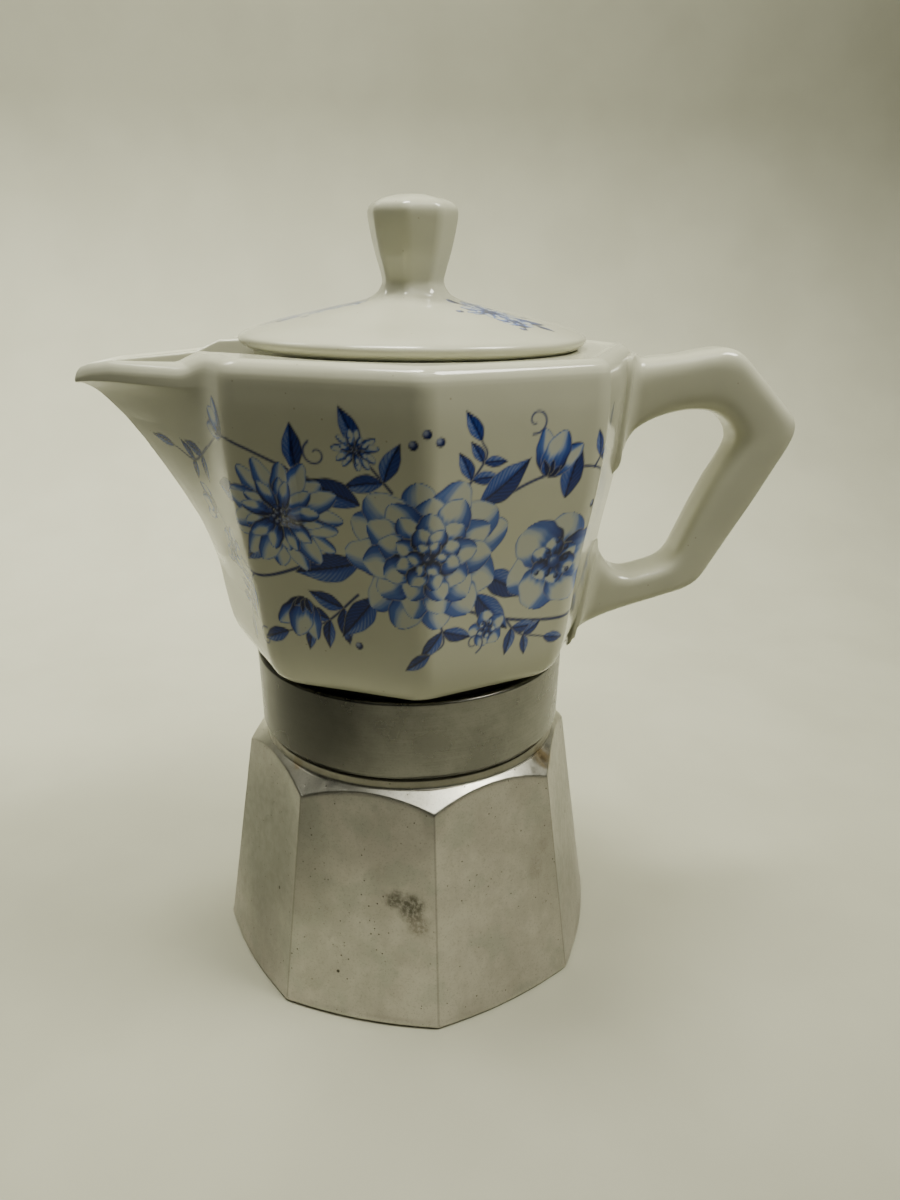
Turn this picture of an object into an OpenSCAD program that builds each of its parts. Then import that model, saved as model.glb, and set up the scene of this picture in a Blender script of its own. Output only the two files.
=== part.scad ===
// Stovetop coffee pot: an octagonal aluminium boiler, a threaded collar and a porcelain jug.
// Millimetres, +Z up. The origin is on the pot's axis at the base. Spout to -X, handle to +X.

/* [Boiler] */
// Radius of the boiler's base, at its corners
base_r = 48.8; // [46:0.1:50]
// Radius of the boiler's shoulder, at its corners
shoulder_r = 40.6; // [40.4:0.1:41.5]
// Height of the shoulder's corners
shoulder_z = 52.7; // [51.5:0.1:53.5]
// Turn of the boiler's corners from the jug's corners, in degrees
boiler_turn = 4.1; // [-8:0.1:8]
// Thickness of the boiler's wall
boiler_wall = 3.6; // [3:0.1:4]
// How far the middles of the facets swell at the base
facet_swell = 1.6; // [0:0.1:3.4]
// Radius of the threaded neck, over the thread
neck_r = 31.5; // [31.2:0.05:31.55]

/* [Safety valve] */
// Height of the valve's axis
valve_z = 40; // [36:0.5:42]
// Direction of the valve's axis, in degrees from +X
valve_dir = 71.6; // [60:0.1:85]
// Width across the flats of the valve's hexagon
valve_flats = 13; // [12:0.1:14]

/* [Collar] */
// Outer radius of the collar at its lower edge
collar_r = 37; // [36.6:0.1:37.4]
// Height of the collar's lower edge
collar_z = 59.3; // [59:0.1:60]
// Height of the collar's upper rim
collar_top = 78.2; // [77.8:0.1:78.6]

/* [Jug] */
// Height of the jug's foot
jug_z = 79; // [78.9:0.1:79.4]
// Radius of the rounding on the jug's eight corners
corner_round = 7; // [5:0.5:12]
// Thickness of the porcelain wall
jug_wall = 4.2; // [3.5:0.1:5]
// Thickness of the jug's floor
floor_t = 5; // [4.6:0.1:5.4]
// Radius of the round mouth
mouth_r = 36.6; // [36.4:0.1:36.8]

/* [Spout] */
// Distance of the spout's tip from the axis
spout_reach = 73; // [68:0.5:78]
// Half angle of the spout's root at the rim, in degrees
spout_spread = 34; // [28:1:36]
// Fall of the spout's rim from the jug's rim to the tip
spout_fall = 5.8; // [4.6:0.1:7]

/* [Handle] */
// Distance of the handle's outermost point from the axis
handle_reach = 91; // [89:0.1:94]
// Thickness of the handle across its plane
handle_w = 13; // [11:0.5:15]

/* [Lid] */
// Largest radius of the lid
lid_r = 38.1; // [37.8:0.1:38.8]
// Turn of the knob's corners from the jug's corners, in degrees
knob_turn = -11.5; // [-22:0.5:22]
// Height of the knob's top
knob_top = 179.4; // [176:0.2:181]
// Shift of the loose lid in the mouth, towards the handle
lid_shift = 1; // [-1:0.1:1]

/* [Column] */
// Height of the column's top end
column_top = 124; // [118:1:128]

/* [Hidden] */
$fn = 96;
CORNER = 22.5;

// Boiler: the neck stands on a plain band, and its rim carries the funnel
band_r = 36;
band_top = 58.8;
neck_top = 70;
shoulder_slope = 0.86;
boiler_floor = 3.5;
facet_levels = [0, 5, 12, 22, 34, band_top + 1];
facet_offsets = [0, 4, 10, 16, 22.5, 29, 35, 41];
neck_bore_r = 27.2;
cavity_top_r = 33.2;

// Safety valve, along its own axis from the seat face on the boiler's boss
valve_face = 40.8;
boss_r = 8.5;
washer_t = 0.8;
shank_r = 4;
thread_gap = 0.05;
seat_x = -2;
valve_end = 8;
inlet_r = 1.5;
chamber_r = 3;
pin_r = 0.9;
pin_head_r = 2.5;
pin_head_t = 1.2;
pin_seal_t = 0.8;
retainer_t = 1.4;
pin_tail = 1.4;
spring_wire = 0.5;
spring_turns = 4;

// Funnel
flange_t = 0.9;
flange_r = 31;
basket_r = 26.8;
sheet_t = 0.9;
basket_floor = 52;
cone_foot = 42;
tube_r = 5;
tube_bore_r = 4.1;
tube_foot = 6;
screen_t = 0.6;

// Seals and filter plate
gasket_bottom = neck_top + flange_t;
gasket_top = gasket_bottom + 2.8;
gasket_r = 31.8;
gasket_bore_r = 25.5;
plate_r = 28.2;
plate_t = 0.8;
hole_r = 0.8;

// Collar: a ring with a dished web, and a threaded spigot through the jug's floor
web_recess = gasket_top + plate_t;
seal_seat = collar_top - 0.8;
dish_z = seal_seat - 1.8;
spigot_r = 8.9;
spigot_bore_r = 5;
spigot_top = 92.5;

// Column and its clamp, stacked on the jug's floor
floor_top = jug_z + floor_t;
floor_hole_r = 9.5;
upper_seal_t = 1.2;
washer_plate_t = 1.4;
hex_bottom = floor_top + upper_seal_t + washer_plate_t;
hex_top = hex_bottom + 6;
column_r = 6.2;

// Jug wall: height and corner radius, from the foot to the rolled rim and onto the lid's seat
jug_profile = [
    [jug_z, 36.6], [80, 39.2], [82.4, 41.6], [87, 43.1], [94, 44.4], [103, 45.6], [110, 46.8],
    [118, 48.4], [126, 49.8], [134, 50.7], [141, 51], [145.4, 50.8], [147.8, 49.8],
    [148.9, 47.6], [148.4, 43.6], [148.4, 36]
];
rim_z = 148.9;
seat_z = 148.4;
shelf_t = 4.6;
cavity_levels = [floor_top, 86, 89, 96, 104, 112, 120, 128, 135, 140, 144, 152];
cavity_foot_inset = 8;
cavity_turn = 138;

// Spout: height and distance of the keel, below the tip
spout_keel = [
    [106, 46.4], [110, 48.4], [116, 51.8], [122, 55.4], [128, 59.2], [133, 62.8], [137, 66.4],
    [140, 69.6], [143, spout_reach]
];
spout_foot_spread = 6;
trough_spread = spout_spread - 10.7;
spout_blend = 1.6;
spout_rim = [
    [46, 0], [50, 2.4], [57, 2.9], [64, 3.3], [69, 4.3], [spout_reach, spout_fall]
];
spout_rim_from = 138;
spout_rim_half = 24;
spout_rim_fade = 12;

// Handle: outer and inner points along the bar, each as distance from the axis and height
handle_stations = [
    [44, 146.2, 43, 119], [49.5, 145.8, 47.8, 124], [53.5, 145.9, 50.2, 128],
    [58, 146.4, 53.8, 131], [63, 147, 58.6, 133.1], [68, 147.9, 64, 134.2],
    [72.6, 148.3, 69, 134.1], [76.2, 147, 72.2, 132.9], [81, 142.4, 74.5, 131],
    [86, 137.3, 75.8, 129], [89.6, 133.4, 76.2, 127.6], [90.9, 130.4, 76.2, 126.2],
    [90, 126.8, 75.6, 124.4], [86.8, 120.6, 74.2, 121.6], [82.4, 112.4, 71.7, 117],
    [77.6, 104.2, 68.6, 110], [73.8, 97.6, 66, 103.6], [71, 93.2, 64.3, 99.8],
    [67.6, 90.8, 61.8, 97.4], [61.5, 88.8, 57.4, 95.8], [54.5, 86.7, 53, 95],
    [48.5, 84.6, 49.4, 96.2], [43.5, 82.2, 46.4, 99], [38.4, 79.7, 41, 101.8]
];
handle_from = 50;
handle_drawn_reach = 91;
handle_root_flare = 3.6;
handle_root_stations = 3;
handle_sides = 16;
handle_steps = 2;

// Lid and knob outlines, as radius and height; the flange drops into the mouth
flange_out_r = mouth_r - 1.5;
lid_seam = seat_z;
lid_outline = [
    [lid_r - 1.6, lid_seam], [lid_r - 0.4, 149.1], [lid_r, 149.9], [lid_r - 0.9, 151.3],
    [34.5, 152.5], [31, 153.5], [26.5, 154.5], [21, 155.8], [16, 156.9], [12.5, 157.6],
    [10, 158.3], [8, 159.4], [0, 160]
];
lid_underside = [
    [0, 155], [12, 153.6], [20, 152.2], [28, 150.4], [32.4, 148.9], [32.4, 143.6],
    [flange_out_r, 143.6], [flange_out_r, lid_seam]
];
knob_levels = [
    [157.6, 8.6], [159.6, 7.5], [161.6, 6.8], [167.2, 8.3], [knob_top - 6.4, 9.5],
    [knob_top - 4.4, 9.8], [knob_top - 2.1, 9.1], [knob_top - 1.1, 7.3]
];
knob_cap = [knob_top, 2.4];

// ---------------------------------------------------------------- shared functions

// Value at x on a chain of [x, value] points
function along(chain, x, i = 0) =
    i >= len(chain) - 2 || x < chain[i + 1][0]
        ? chain[i][1] + (chain[i + 1][1] - chain[i][1])
            * clamp01((x - chain[i][0]) / (chain[i + 1][0] - chain[i][0]))
        : along(chain, x, i + 1);

function clamp01(t) = min(1, max(0, t));

function ease(t) = clamp01(t) * clamp01(t) * (3 - 2 * clamp01(t));

// The larger of two values, with the step between them rounded by k
function soft_max(a, b, k) = (a + b + sqrt((a - b) * (a - b) + k * k)) / 2;

// Radius of a rounded octagon in direction a, with a corner on +X
function octagon_r(corner_r, a) =
    let (off = abs((((a + CORNER) % 45) + 45) % 45 - CORNER),
         centre = corner_r - corner_round,
         tangent = atan2(corner_round * sin(CORNER), centre + corner_round * cos(CORNER)))
    off < tangent
        ? centre * cos(off) + sqrt(pow(corner_round, 2) - pow(centre * sin(off), 2))
        : (centre * cos(CORNER) + corner_round) / cos(CORNER - off);

// Middle of a ring of points
function middle(ring) = [for (axis = [0:2]) let (v = [for (p = ring) p[axis]]) sum(v) / len(v)];

function sum(v, i = 0) = i < len(v) ? v[i] + sum(v, i + 1) : 0;

// Closed skin over rings of equal length, with a fan of triangles over each end
module skin(rings) {
    n = len(rings[0]);
    last = len(rings) - 1;
    first_hub = (last + 1) * n;
    last_hub = first_hub + 1;
    sides = [for (i = [0:last - 1], j = [0:n - 1], side = [0, 1])
        side == 0
            ? [i * n + j, (i + 1) * n + j, i * n + (j + 1) % n]
            : [(i + 1) * n + j, (i + 1) * n + (j + 1) % n, i * n + (j + 1) % n]];
    fans = [for (j = [0:n - 1], end = [0, 1])
        end == 0
            ? [first_hub, j, (j + 1) % n]
            : [last_hub, last * n + (j + 1) % n, last * n + j]];
    hubs = [middle(rings[0]), middle(rings[last])];
    polyhedron(concat([for (ring = rings, p = ring) p], hubs), concat(sides, fans));
}

// Round ring between two radii
module ring(outer_r, inner_r, bottom, top) {
    translate([0, 0, bottom]) difference() {
        cylinder(r = outer_r, h = top - bottom);
        translate([0, 0, -1]) cylinder(r = inner_r, h = top - bottom + 2);
    }
}

// Holes on circles round the axis, six more on each circle
module perforations(circles, pitch, bottom, height) {
    for (c = [1:circles], k = [0:6 * c - 1])
        rotate(360 * k / (6 * c))
            translate([c * pitch, 0, bottom]) cylinder(r = hole_r, h = height, $fn = 16);
}

// Places its children on the valve's axis, with +X outwards from the boss
module on_valve_axis() {
    translate([0, 0, valve_z]) rotate(valve_dir) translate([valve_face, 0, 0]) children();
}

// Cylinder along +X from one place to another
module bar_x(r, from, to) {
    translate([from, 0, 0]) rotate([0, 90, 0]) cylinder(r = r, h = to - from, $fn = 48);
}

// ---------------------------------------------------------------- boiler and its valve

// Point of the faceted wall in direction a, off degrees on from a corner
function facet_point(a, off, z) =
    let (from_middle = abs(off - CORNER) / CORNER,
         corner_r = base_r - (base_r - shoulder_r) / shoulder_z * z,
         flat_r = corner_r * cos(CORNER) / cos(CORNER * from_middle),
         rise = pow(max(0, 1 - z / shoulder_z), 2),
         r = flat_r + facet_swell * rise * (1 - pow(from_middle, 2)))
    [r * cos(a), r * sin(a), z];

module boiler_outside() {
    shoulder_top = shoulder_z + (shoulder_r - band_r) * shoulder_slope;
    intersection() {
        rotate(boiler_turn) skin([for (z = facet_levels)
            [for (k = [0:7], off = facet_offsets) facet_point(45 * k + off, off, z)]]);
        rotate_extrude() polygon([
            [0, 0], [base_r + 1, 0], [base_r + 1, shoulder_z - (base_r + 1 - shoulder_r) * shoulder_slope],
            [band_r, shoulder_top], [band_r, band_top], [0, band_top]
        ]);
    }
    rotate_extrude() polygon([
        [0, band_top - 2], [neck_r, band_top - 2], [neck_r, neck_top - 0.8],
        [neck_r - 0.8, neck_top], [0, neck_top]
    ]);
    on_valve_axis() bar_x(boss_r, -6, 0);
}

module boiler_cavity() {
    facet_fall = (base_r - shoulder_r) / shoulder_z * cos(CORNER);
    foot_r = base_r * cos(CORNER) - boiler_wall;
    cavity_z = 46;
    rotate_extrude() polygon([
        [0, boiler_floor], [foot_r - 5, boiler_floor], [foot_r - 1.4, boiler_floor + 1.6],
        [foot_r - 0.5, boiler_floor + 5], [foot_r - facet_fall * cavity_z, cavity_z],
        [cavity_top_r - 1, 53], [neck_bore_r, 57], [neck_bore_r, neck_top + 1], [0, neck_top + 1]
    ]);
}

module boiler() {
    color("#b4b0a6") difference() {
        boiler_outside();
        boiler_cavity();
        on_valve_axis() bar_x(shank_r + thread_gap, -12, 1);
        on_valve_axis() bar_x(boss_r, 0, 3);
    }
}

module valve_washer() {
    color("#8a4b32") on_valve_axis() difference() {
        bar_x(7, 0, washer_t);
        bar_x(shank_r + thread_gap, -1, 2);
    }
}

module valve_body() {
    hex_t = 4;
    shank_end = -9;
    outlet_r = 1;
    color("#c9a24b") on_valve_axis() difference() {
        union() {
            translate([washer_t, 0, 0]) rotate([0, 90, 0])
                cylinder(r = valve_flats / 2 / cos(30), h = hex_t, $fn = 6);
            bar_x(shank_r, shank_end, washer_t + 1);
            bar_x(5, washer_t + hex_t - 1, valve_end);
        }
        bar_x(inlet_r, shank_end - 1, seat_x + 1);
        bar_x(chamber_r, seat_x, valve_end + 1);
        translate([6.4, 0, 0]) rotate([90, 0, 0])
            cylinder(r = outlet_r, h = 14, center = true, $fn = 24);
    }
}

module valve_seal() {
    color("#2b2b2b") on_valve_axis() difference() {
        bar_x(pin_head_r, seat_x, seat_x + pin_seal_t);
        bar_x(pin_r, seat_x - 1, seat_x + pin_seal_t + 1);
    }
}

module valve_pin() {
    head = seat_x + pin_seal_t;
    color("#cfcfcf") on_valve_axis() {
        bar_x(pin_r, -8, valve_end + pin_tail);
        bar_x(pin_head_r, head, head + pin_head_t);
    }
}

function spring_point(turn, radius, from, to) =
    [from + (to - from) * turn / spring_turns, radius * cos(360 * turn), radius * sin(360 * turn)];

module valve_spring() {
    steps = 12;
    coil_r = 1.9;
    head = seat_x + pin_seal_t + pin_head_t;
    from = head + spring_wire / 2 + 0.05;
    to = valve_end - retainer_t - spring_wire / 2 - 0.05;
    rings = [for (i = [0:steps * spring_turns])
        let (centre = spring_point(i / steps, coil_r, from, to), a = 360 * i / steps)
        [for (j = [0:7])
            let (c = spring_wire / 2 * cos(45 * j), s = spring_wire / 2 * sin(45 * j))
            centre + [s, c * cos(a), c * sin(a)]]];
    color("#d8d8d8") on_valve_axis() skin(rings);
}

module valve_retainer() {
    tail_gap = 0.1;
    color("#b48f3e") on_valve_axis() difference() {
        bar_x(chamber_r, valve_end - retainer_t, valve_end);
        bar_x(pin_r + tail_gap, 0, valve_end + 1);
    }
}

// ---------------------------------------------------------------- funnel

module funnel_basket() {
    color("#c4c4bf") rotate_extrude() polygon([
        [basket_r - sheet_t, neck_top], [basket_r - sheet_t, basket_floor + sheet_t],
        [basket_r - 3, basket_floor + sheet_t], [tube_r, cone_foot + sheet_t], [tube_r, cone_foot],
        [basket_r - 2.4, basket_floor], [basket_r, basket_floor], [basket_r, neck_top],
        [flange_r, neck_top], [flange_r, neck_top + flange_t], [basket_r - sheet_t, neck_top + flange_t]
    ]);
}

module funnel_tube() {
    color("#c4c4bf") ring(tube_r, tube_bore_r, tube_foot, cone_foot + sheet_t);
}

module funnel_screen() {
    screen_z = basket_floor + sheet_t;
    color("#b9b9b4") difference() {
        translate([0, 0, screen_z]) cylinder(r = basket_r - sheet_t - 0.2, h = screen_t);
        perforations(4, 5, screen_z - 1, screen_t + 2);
    }
}

// ---------------------------------------------------------------- seals, filter and collar

module gasket() {
    color("#d9d4c4") ring(gasket_r, gasket_bore_r, gasket_bottom, gasket_top);
}

module filter_plate() {
    color("#c4c4bf") difference() {
        translate([0, 0, gasket_top]) cylinder(r = plate_r, h = plate_t);
        perforations(4, 5, gasket_top - 1, plate_t + 2);
    }
}

module collar() {
    chamfer = 0.9;
    flare = 0.4;
    bore_r = neck_r + thread_gap;
    color("#8f8d87") rotate_extrude() polygon([
        [bore_r + chamfer, collar_z], [collar_r - chamfer, collar_z], [collar_r, collar_z + chamfer],
        [collar_r + flare, collar_top], [collar_r - 1.4, collar_top], [collar_r - 1.4, seal_seat],
        [spigot_r, seal_seat], [spigot_r, spigot_top], [spigot_bore_r, spigot_top],
        [spigot_bore_r, dish_z], [plate_r - 1.2, web_recess], [plate_r + 0.3, web_recess],
        [plate_r + 0.3, gasket_top], [gasket_r + 0.2, gasket_top], [gasket_r + 0.2, neck_top],
        [bore_r, neck_top], [bore_r, collar_z + chamfer]
    ]);
}

module lower_seal() {
    color("#26251f") ring(collar_r - 1.5, 26, seal_seat, jug_z);
}

// ---------------------------------------------------------------- porcelain jug

// Sample directions: dense at the corners, and denser still across the spout at 180 degrees
corner_offsets = [-22.5, -11, -3.2, -1.2, 0, 1.2, 3.2, 11];
spout_offsets = [for (t = [-1:0.125:0.876]) 22.5 * sign(t) * pow(abs(t), 1.4)];
jug_directions = [for (k = [0:7], off = k == 4 ? spout_offsets : corner_offsets) 45 * k + off];

// Radius of the spout's side walls in direction a, at height z; at the rim they spread by half_angle
function spout_r(a, z, corner_r, half_angle) =
    let (off = abs(a - 180),
         top = clamp01((z - spout_keel[0][0]) / (143 - spout_keel[0][0])),
         spread = spout_foot_spread + (half_angle - spout_foot_spread) * pow(top, 0.6),
         tip = along(spout_keel, z),
         root = octagon_r(corner_r, 180 + spread) * [cos(spread), sin(spread)],
         cross = root[1] * tip,
         slope = root[1] * cos(off) + (tip - root[0]) * sin(off))
    off > 60 ? 0 : min(cross / slope, tip - 0.12 * off);

// Radius of the jug's outside in direction a, at height z
function jug_r(a, z, corner_r) =
    let (wall = octagon_r(corner_r, a))
    z < spout_keel[0][0] - 2
        ? wall
        : soft_max(wall, spout_r(a, z, corner_r, spout_spread), spout_blend);

// Fall of the rim at distance r along the spout; it fades out below the rim and beside the spout
function rim_drop(a, r, z) =
    along(spout_rim, max(r, spout_rim[0][0]))
        * ease((z - spout_rim_from) / (rim_z - spout_rim_from))
        * (1 - ease((abs(a - 180) - spout_rim_half) / spout_rim_fade));

function jug_point(a, r, z) = [r * cos(a), r * sin(a), z - rim_drop(a, r, z)];

// Radius of the cavity in direction a: it turns in under the rim to the round mouth
function cavity_r(a, z) =
    let (level = min(z, cavity_turn),
         corner_r = along(jug_profile, level),
         body = octagon_r(corner_r, a) - jug_wall,
         trough = spout_r(a, min(z, rim_z), corner_r, trough_spread) - 1.15 * jug_wall,
         foot = cavity_foot_inset * pow(1 - clamp01((z - floor_top) / 6), 2),
         turn = ease((z - cavity_turn) / (rim_z - shelf_t - cavity_turn)),
         closed = body - foot + (mouth_r - body) * turn)
    z < spout_keel[0][0] ? closed : soft_max(closed, trough, spout_blend * (1 - turn));

module jug_outside() {
    rings = [for (level = jug_profile)
        [for (a = jug_directions)
            let (r = jug_r(a, level[0], level[1]))
            jug_point(a, r, level[0])]];
    skin(rings);
}

module jug_cavity() {
    rings = [for (z = cavity_levels)
        [for (a = jug_directions)
            let (r = cavity_r(a, z))
            jug_point(a, r, z)]];
    skin(rings);
}

// Point at a fraction t between the second and third of four, on a smooth curve through all
function smooth_between(p, t) =
    0.5 * (2 * p[1] + (p[2] - p[0]) * t + (2 * p[0] - 5 * p[1] + 4 * p[2] - p[3]) * t * t
        + (3 * p[1] - p[0] - 3 * p[2] + p[3]) * t * t * t);

function handle_stretched(r) =
    r < handle_from ? r
    : handle_from + (r - handle_from) * (handle_reach - handle_from) / (handle_drawn_reach - handle_from);

function handle_station(i) =
    let (s = handle_stations[min(max(i, 0), len(handle_stations) - 1)])
    [handle_stretched(s[0]), s[1], handle_stretched(s[2]), s[3]];

module handle() {
    last = (len(handle_stations) - 1) * handle_steps;
    rings = [for (i = [0:last])
        let (k = floor(i / handle_steps),
             pair = smooth_between([for (d = [-1:2]) handle_station(k + d)], i / handle_steps - k),
             outer = [pair[0], pair[1]],
             inner = [pair[2], pair[3]],
             from_end = min(i, last - i) / handle_steps / handle_root_stations,
             half_w = handle_w / 2 + handle_root_flare * pow(1 - clamp01(from_end), 2))
        [for (j = [0:handle_sides - 1])
            let (t = 360 * j / handle_sides,
                 across = sign(cos(t)) * pow(abs(cos(t)), 0.5),
                 along_y = -sign(sin(t)) * pow(abs(sin(t)), 0.5) * half_w,
                 at = (outer + inner) / 2 + across * (outer - inner) / 2)
            [at[0], along_y, at[1]]]];
    skin(rings);
}

module jug() {
    color("#e6e2d0") difference() {
        union() {
            jug_outside();
            handle();
        }
        jug_cavity();
        translate([0, 0, jug_z - 1]) cylinder(r = floor_hole_r, h = floor_t + 2);
    }
}

// ---------------------------------------------------------------- column and its clamp

module upper_seal() {
    color("#26251f") ring(15, spigot_r + 0.3, floor_top, floor_top + upper_seal_t);
}

module clamp_washer() {
    color("#b9b9b4") ring(16, spigot_r + 0.3, floor_top + upper_seal_t, hex_bottom);
}

module column() {
    flats = 24;
    color("#b4b4ae") difference() {
        union() {
            translate([0, 0, hex_bottom])
                cylinder(r = flats / 2 / cos(30), h = hex_top - hex_bottom, $fn = 6);
            rotate_extrude() polygon([
                [0, hex_top - 1], [11.4, hex_top - 1], [11.4, hex_top], [9, hex_top + 5],
                [column_r + 0.8, column_top - 5], [column_r, column_top - 5],
                [column_r, column_top], [0, column_top]
            ]);
        }
        rotate_extrude() polygon([
            [0, hex_bottom - 1], [spigot_r + thread_gap, hex_bottom - 1],
            [spigot_r + thread_gap, spigot_top + 0.4], [spigot_bore_r, spigot_top + 2],
            [4.2, column_top + 1], [0, column_top + 1]
        ]);
    }
}

module column_cap() {
    cap_z = column_top - 4.6;
    outlet_z = column_top + 3;
    outlet_r = 2.2;
    color("#b9b9b4") difference() {
        rotate_extrude() polygon([
            [column_r + 0.02, cap_z], [column_r + 1.2, cap_z], [column_r + 1.2, column_top + 5.5],
            [column_r - 0.4, column_top + 7.4], [0, column_top + 8], [0, column_top + 6.6],
            [column_r - 1.4, column_top + 6], [column_r + 0.02, column_top + 4.6]
        ]);
        translate([0, 0, outlet_z]) rotate([90, 0, 0])
            cylinder(r = outlet_r, h = 3 * column_r, center = true, $fn = 32);
    }
}

// ---------------------------------------------------------------- lid

module knob() {
    levels = concat(knob_levels, [knob_cap]);
    for (i = [0:len(levels) - 2])
        translate([0, 0, levels[i][0]]) rotate(knob_turn)
            cylinder(r1 = levels[i][1], r2 = levels[i + 1][1], h = levels[i + 1][0] - levels[i][0], $fn = 8);
}

module lid() {
    color("#e6e2d0") translate([lid_shift, 0, 0]) {
        rotate_extrude() polygon(concat(lid_outline, lid_underside));
        knob();
    }
}

boiler();
valve_washer();
valve_body();
valve_pin();
valve_seal();
valve_spring();
valve_retainer();
funnel_basket();
funnel_tube();
funnel_screen();
gasket();
filter_plate();
collar();
lower_seal();
jug();
upper_seal();
clamp_washer();
column();
column_cap();
lid();
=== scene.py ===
"""Looks of a stovetop pot with a porcelain jug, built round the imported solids.

Shapes are worked out in millimetres, in the part's own frame: +Z up, the spout to -X, the handle
to +X and the camera on the -Y side. Directions are in degrees. Meshes are written in metres.
"""

import math

import bpy
import numpy as np
from mathutils import Matrix, Vector

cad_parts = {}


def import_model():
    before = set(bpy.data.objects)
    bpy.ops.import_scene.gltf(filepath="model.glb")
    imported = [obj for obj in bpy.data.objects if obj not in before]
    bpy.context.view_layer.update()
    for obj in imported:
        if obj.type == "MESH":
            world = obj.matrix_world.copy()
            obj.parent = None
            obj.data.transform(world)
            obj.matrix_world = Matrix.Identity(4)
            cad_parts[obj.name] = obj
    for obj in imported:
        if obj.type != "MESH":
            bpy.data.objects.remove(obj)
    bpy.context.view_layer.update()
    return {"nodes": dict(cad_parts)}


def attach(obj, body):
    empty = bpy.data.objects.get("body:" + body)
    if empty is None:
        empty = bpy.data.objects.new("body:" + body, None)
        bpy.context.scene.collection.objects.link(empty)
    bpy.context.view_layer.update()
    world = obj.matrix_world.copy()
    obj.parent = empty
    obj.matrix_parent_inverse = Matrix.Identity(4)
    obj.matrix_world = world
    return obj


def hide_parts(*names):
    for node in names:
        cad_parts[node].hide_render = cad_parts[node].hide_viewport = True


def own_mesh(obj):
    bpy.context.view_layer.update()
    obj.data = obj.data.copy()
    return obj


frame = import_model()

MM = 0.001
rng = np.random.default_rng(7)

# Boiler and jug have eight facets, with a corner every 45 degrees
FACET = 45
HALF_FACET = math.radians(FACET / 2)

# Boiler
BASE_R, SHOULDER_R, SHOULDER_Z = 48.8, 40.6, 52.7
BOILER_TURN = 4.1
BOILER_CORNER = 0.8
FACET_SWELL = 1.6
SHOULDER_SLOPE = 0.86
BAND_R, BAND_TOP = 36.0, 58.8
# Painted shade under the collar starts at this height
COLLAR_SHADE_Z = 56.3
NECK_R, NECK_TOP, NECK_BORE_R = 31.5, 70.0, 27.2
THREAD_PITCH, THREAD_DEPTH = 3.0, 0.8

# Safety valve, along its own axis
VALVE_DIR, VALVE_Z, VALVE_FACE = 71.6, 40.0, 40.8
BOSS_R, BOSS_BORE_R, BOSS_ROOT = 8.5, 4.1, -4.0
SPRING_FROM, SPRING_TO, SPRING_R, SPRING_WIRE, SPRING_TURNS = 0.3, 6.3, 1.9, 0.5, 4

# Collar
COLLAR_R, COLLAR_Z, COLLAR_TOP = 37.0, 59.3, 78.2
SPIGOT_R, SPIGOT_TOP, COLUMN_R = 8.9, 92.5, 5.0
WEB_Z, STEP_Z, GASKET_Z, GASKET_R = 74.5, 73.7, 70.0, 32.0

# Jug
JUG_Z, FLOOR_TOP, FLOOR_HOLE_R = 79.0, 84.0, 9.5
CORNER_ROUND, WALL = 7.0, 4.2
MOUTH_R, RIM_Z, SEAT_Z, SHELF = 36.6, 148.9, 148.4, 4.6
TURN_IN_Z = 138
SPOUT_SPREAD, TROUGH_SPREAD, SPOUT_FOOT_Z, SPOUT_BLEND = 34.0, 23.3, 98.0, 2.4
TROUGH_TOP = 143
SPRAY_HEIGHT, PAINTED_APOTHEM = 114.5, 44.8

# Handle
HANDLE_W, HANDLE_FILLET, HANDLE_REACH, HANDLE_TOP = 13.0, 3.6, 90.88, 148.4
HANDLE_ROOT_TOP, HANDLE_SQUARE = 146.8, 0.52

# Lid
LID_SHIFT, KNOB_TURN, KNOB_FOOT_R, KNOB_WAIST_Z = 1.0, -11.5, 12.5, 160
FLANGE_R, FLANGE_Z = MOUTH_R - 1.5, 143.6
SPRAY_RIGHT, SPRAY_LEFT, LID_PAINT_TOP = -38, 186, 158.4


# ---- shapes


def ease(t):
    """Smooth step from 0 to 1."""
    t = np.clip(t, 0, 1)
    return t * t * (3 - 2 * t)


def soft_max(a, b, k):
    """The larger of two values, with the step between them rounded by k."""
    return (a + b + np.sqrt((a - b) ** 2 + k * k)) / 2


def compass(a):
    """Cosine and sine of a direction."""
    return np.cos(np.radians(a)), np.sin(np.radians(a))


def off_corner(a):
    """Degrees from a direction to the octagon's nearest corner."""
    return np.abs((a + FACET / 2) % FACET - FACET / 2)


def octagon(corner_r, a, rounding):
    """Radius of a rounded octagon with a corner at 0 degrees, in direction a."""
    off = np.radians(off_corner(a))
    sine, cosine = math.sin(HALF_FACET), math.cos(HALF_FACET)
    centre = corner_r - rounding
    tangent = np.arctan2(rounding * sine, centre + rounding * cosine)
    inside = np.maximum(rounding**2 - (centre * np.sin(off)) ** 2, 0)
    arc = centre * np.cos(off) + np.sqrt(inside)
    flat = (centre * cosine + rounding) / np.cos(HALF_FACET - off)
    return np.where(off < tangent, arc, flat)


def curve(points, step):
    """Smooth line through the points, with a point about every step."""
    p = np.array(points, float)
    p = np.vstack([2 * p[0] - p[1], p, 2 * p[-1] - p[-2]])
    out = []
    for a, b, c, d in zip(p, p[1:], p[2:], p[3:]):
        count = max(2, int(np.linalg.norm((c - b)[:2]) / step))
        t = np.linspace(0, 1, count, endpoint=False)[:, None]
        bend = (2 * a - 5 * b + 4 * c - d) * t**2 + (3 * b - a - 3 * c + d) * t**3
        out.append(0.5 * (2 * b + (c - a) * t + bend))
    return np.vstack(out + [p[-2:-1]])


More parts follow.
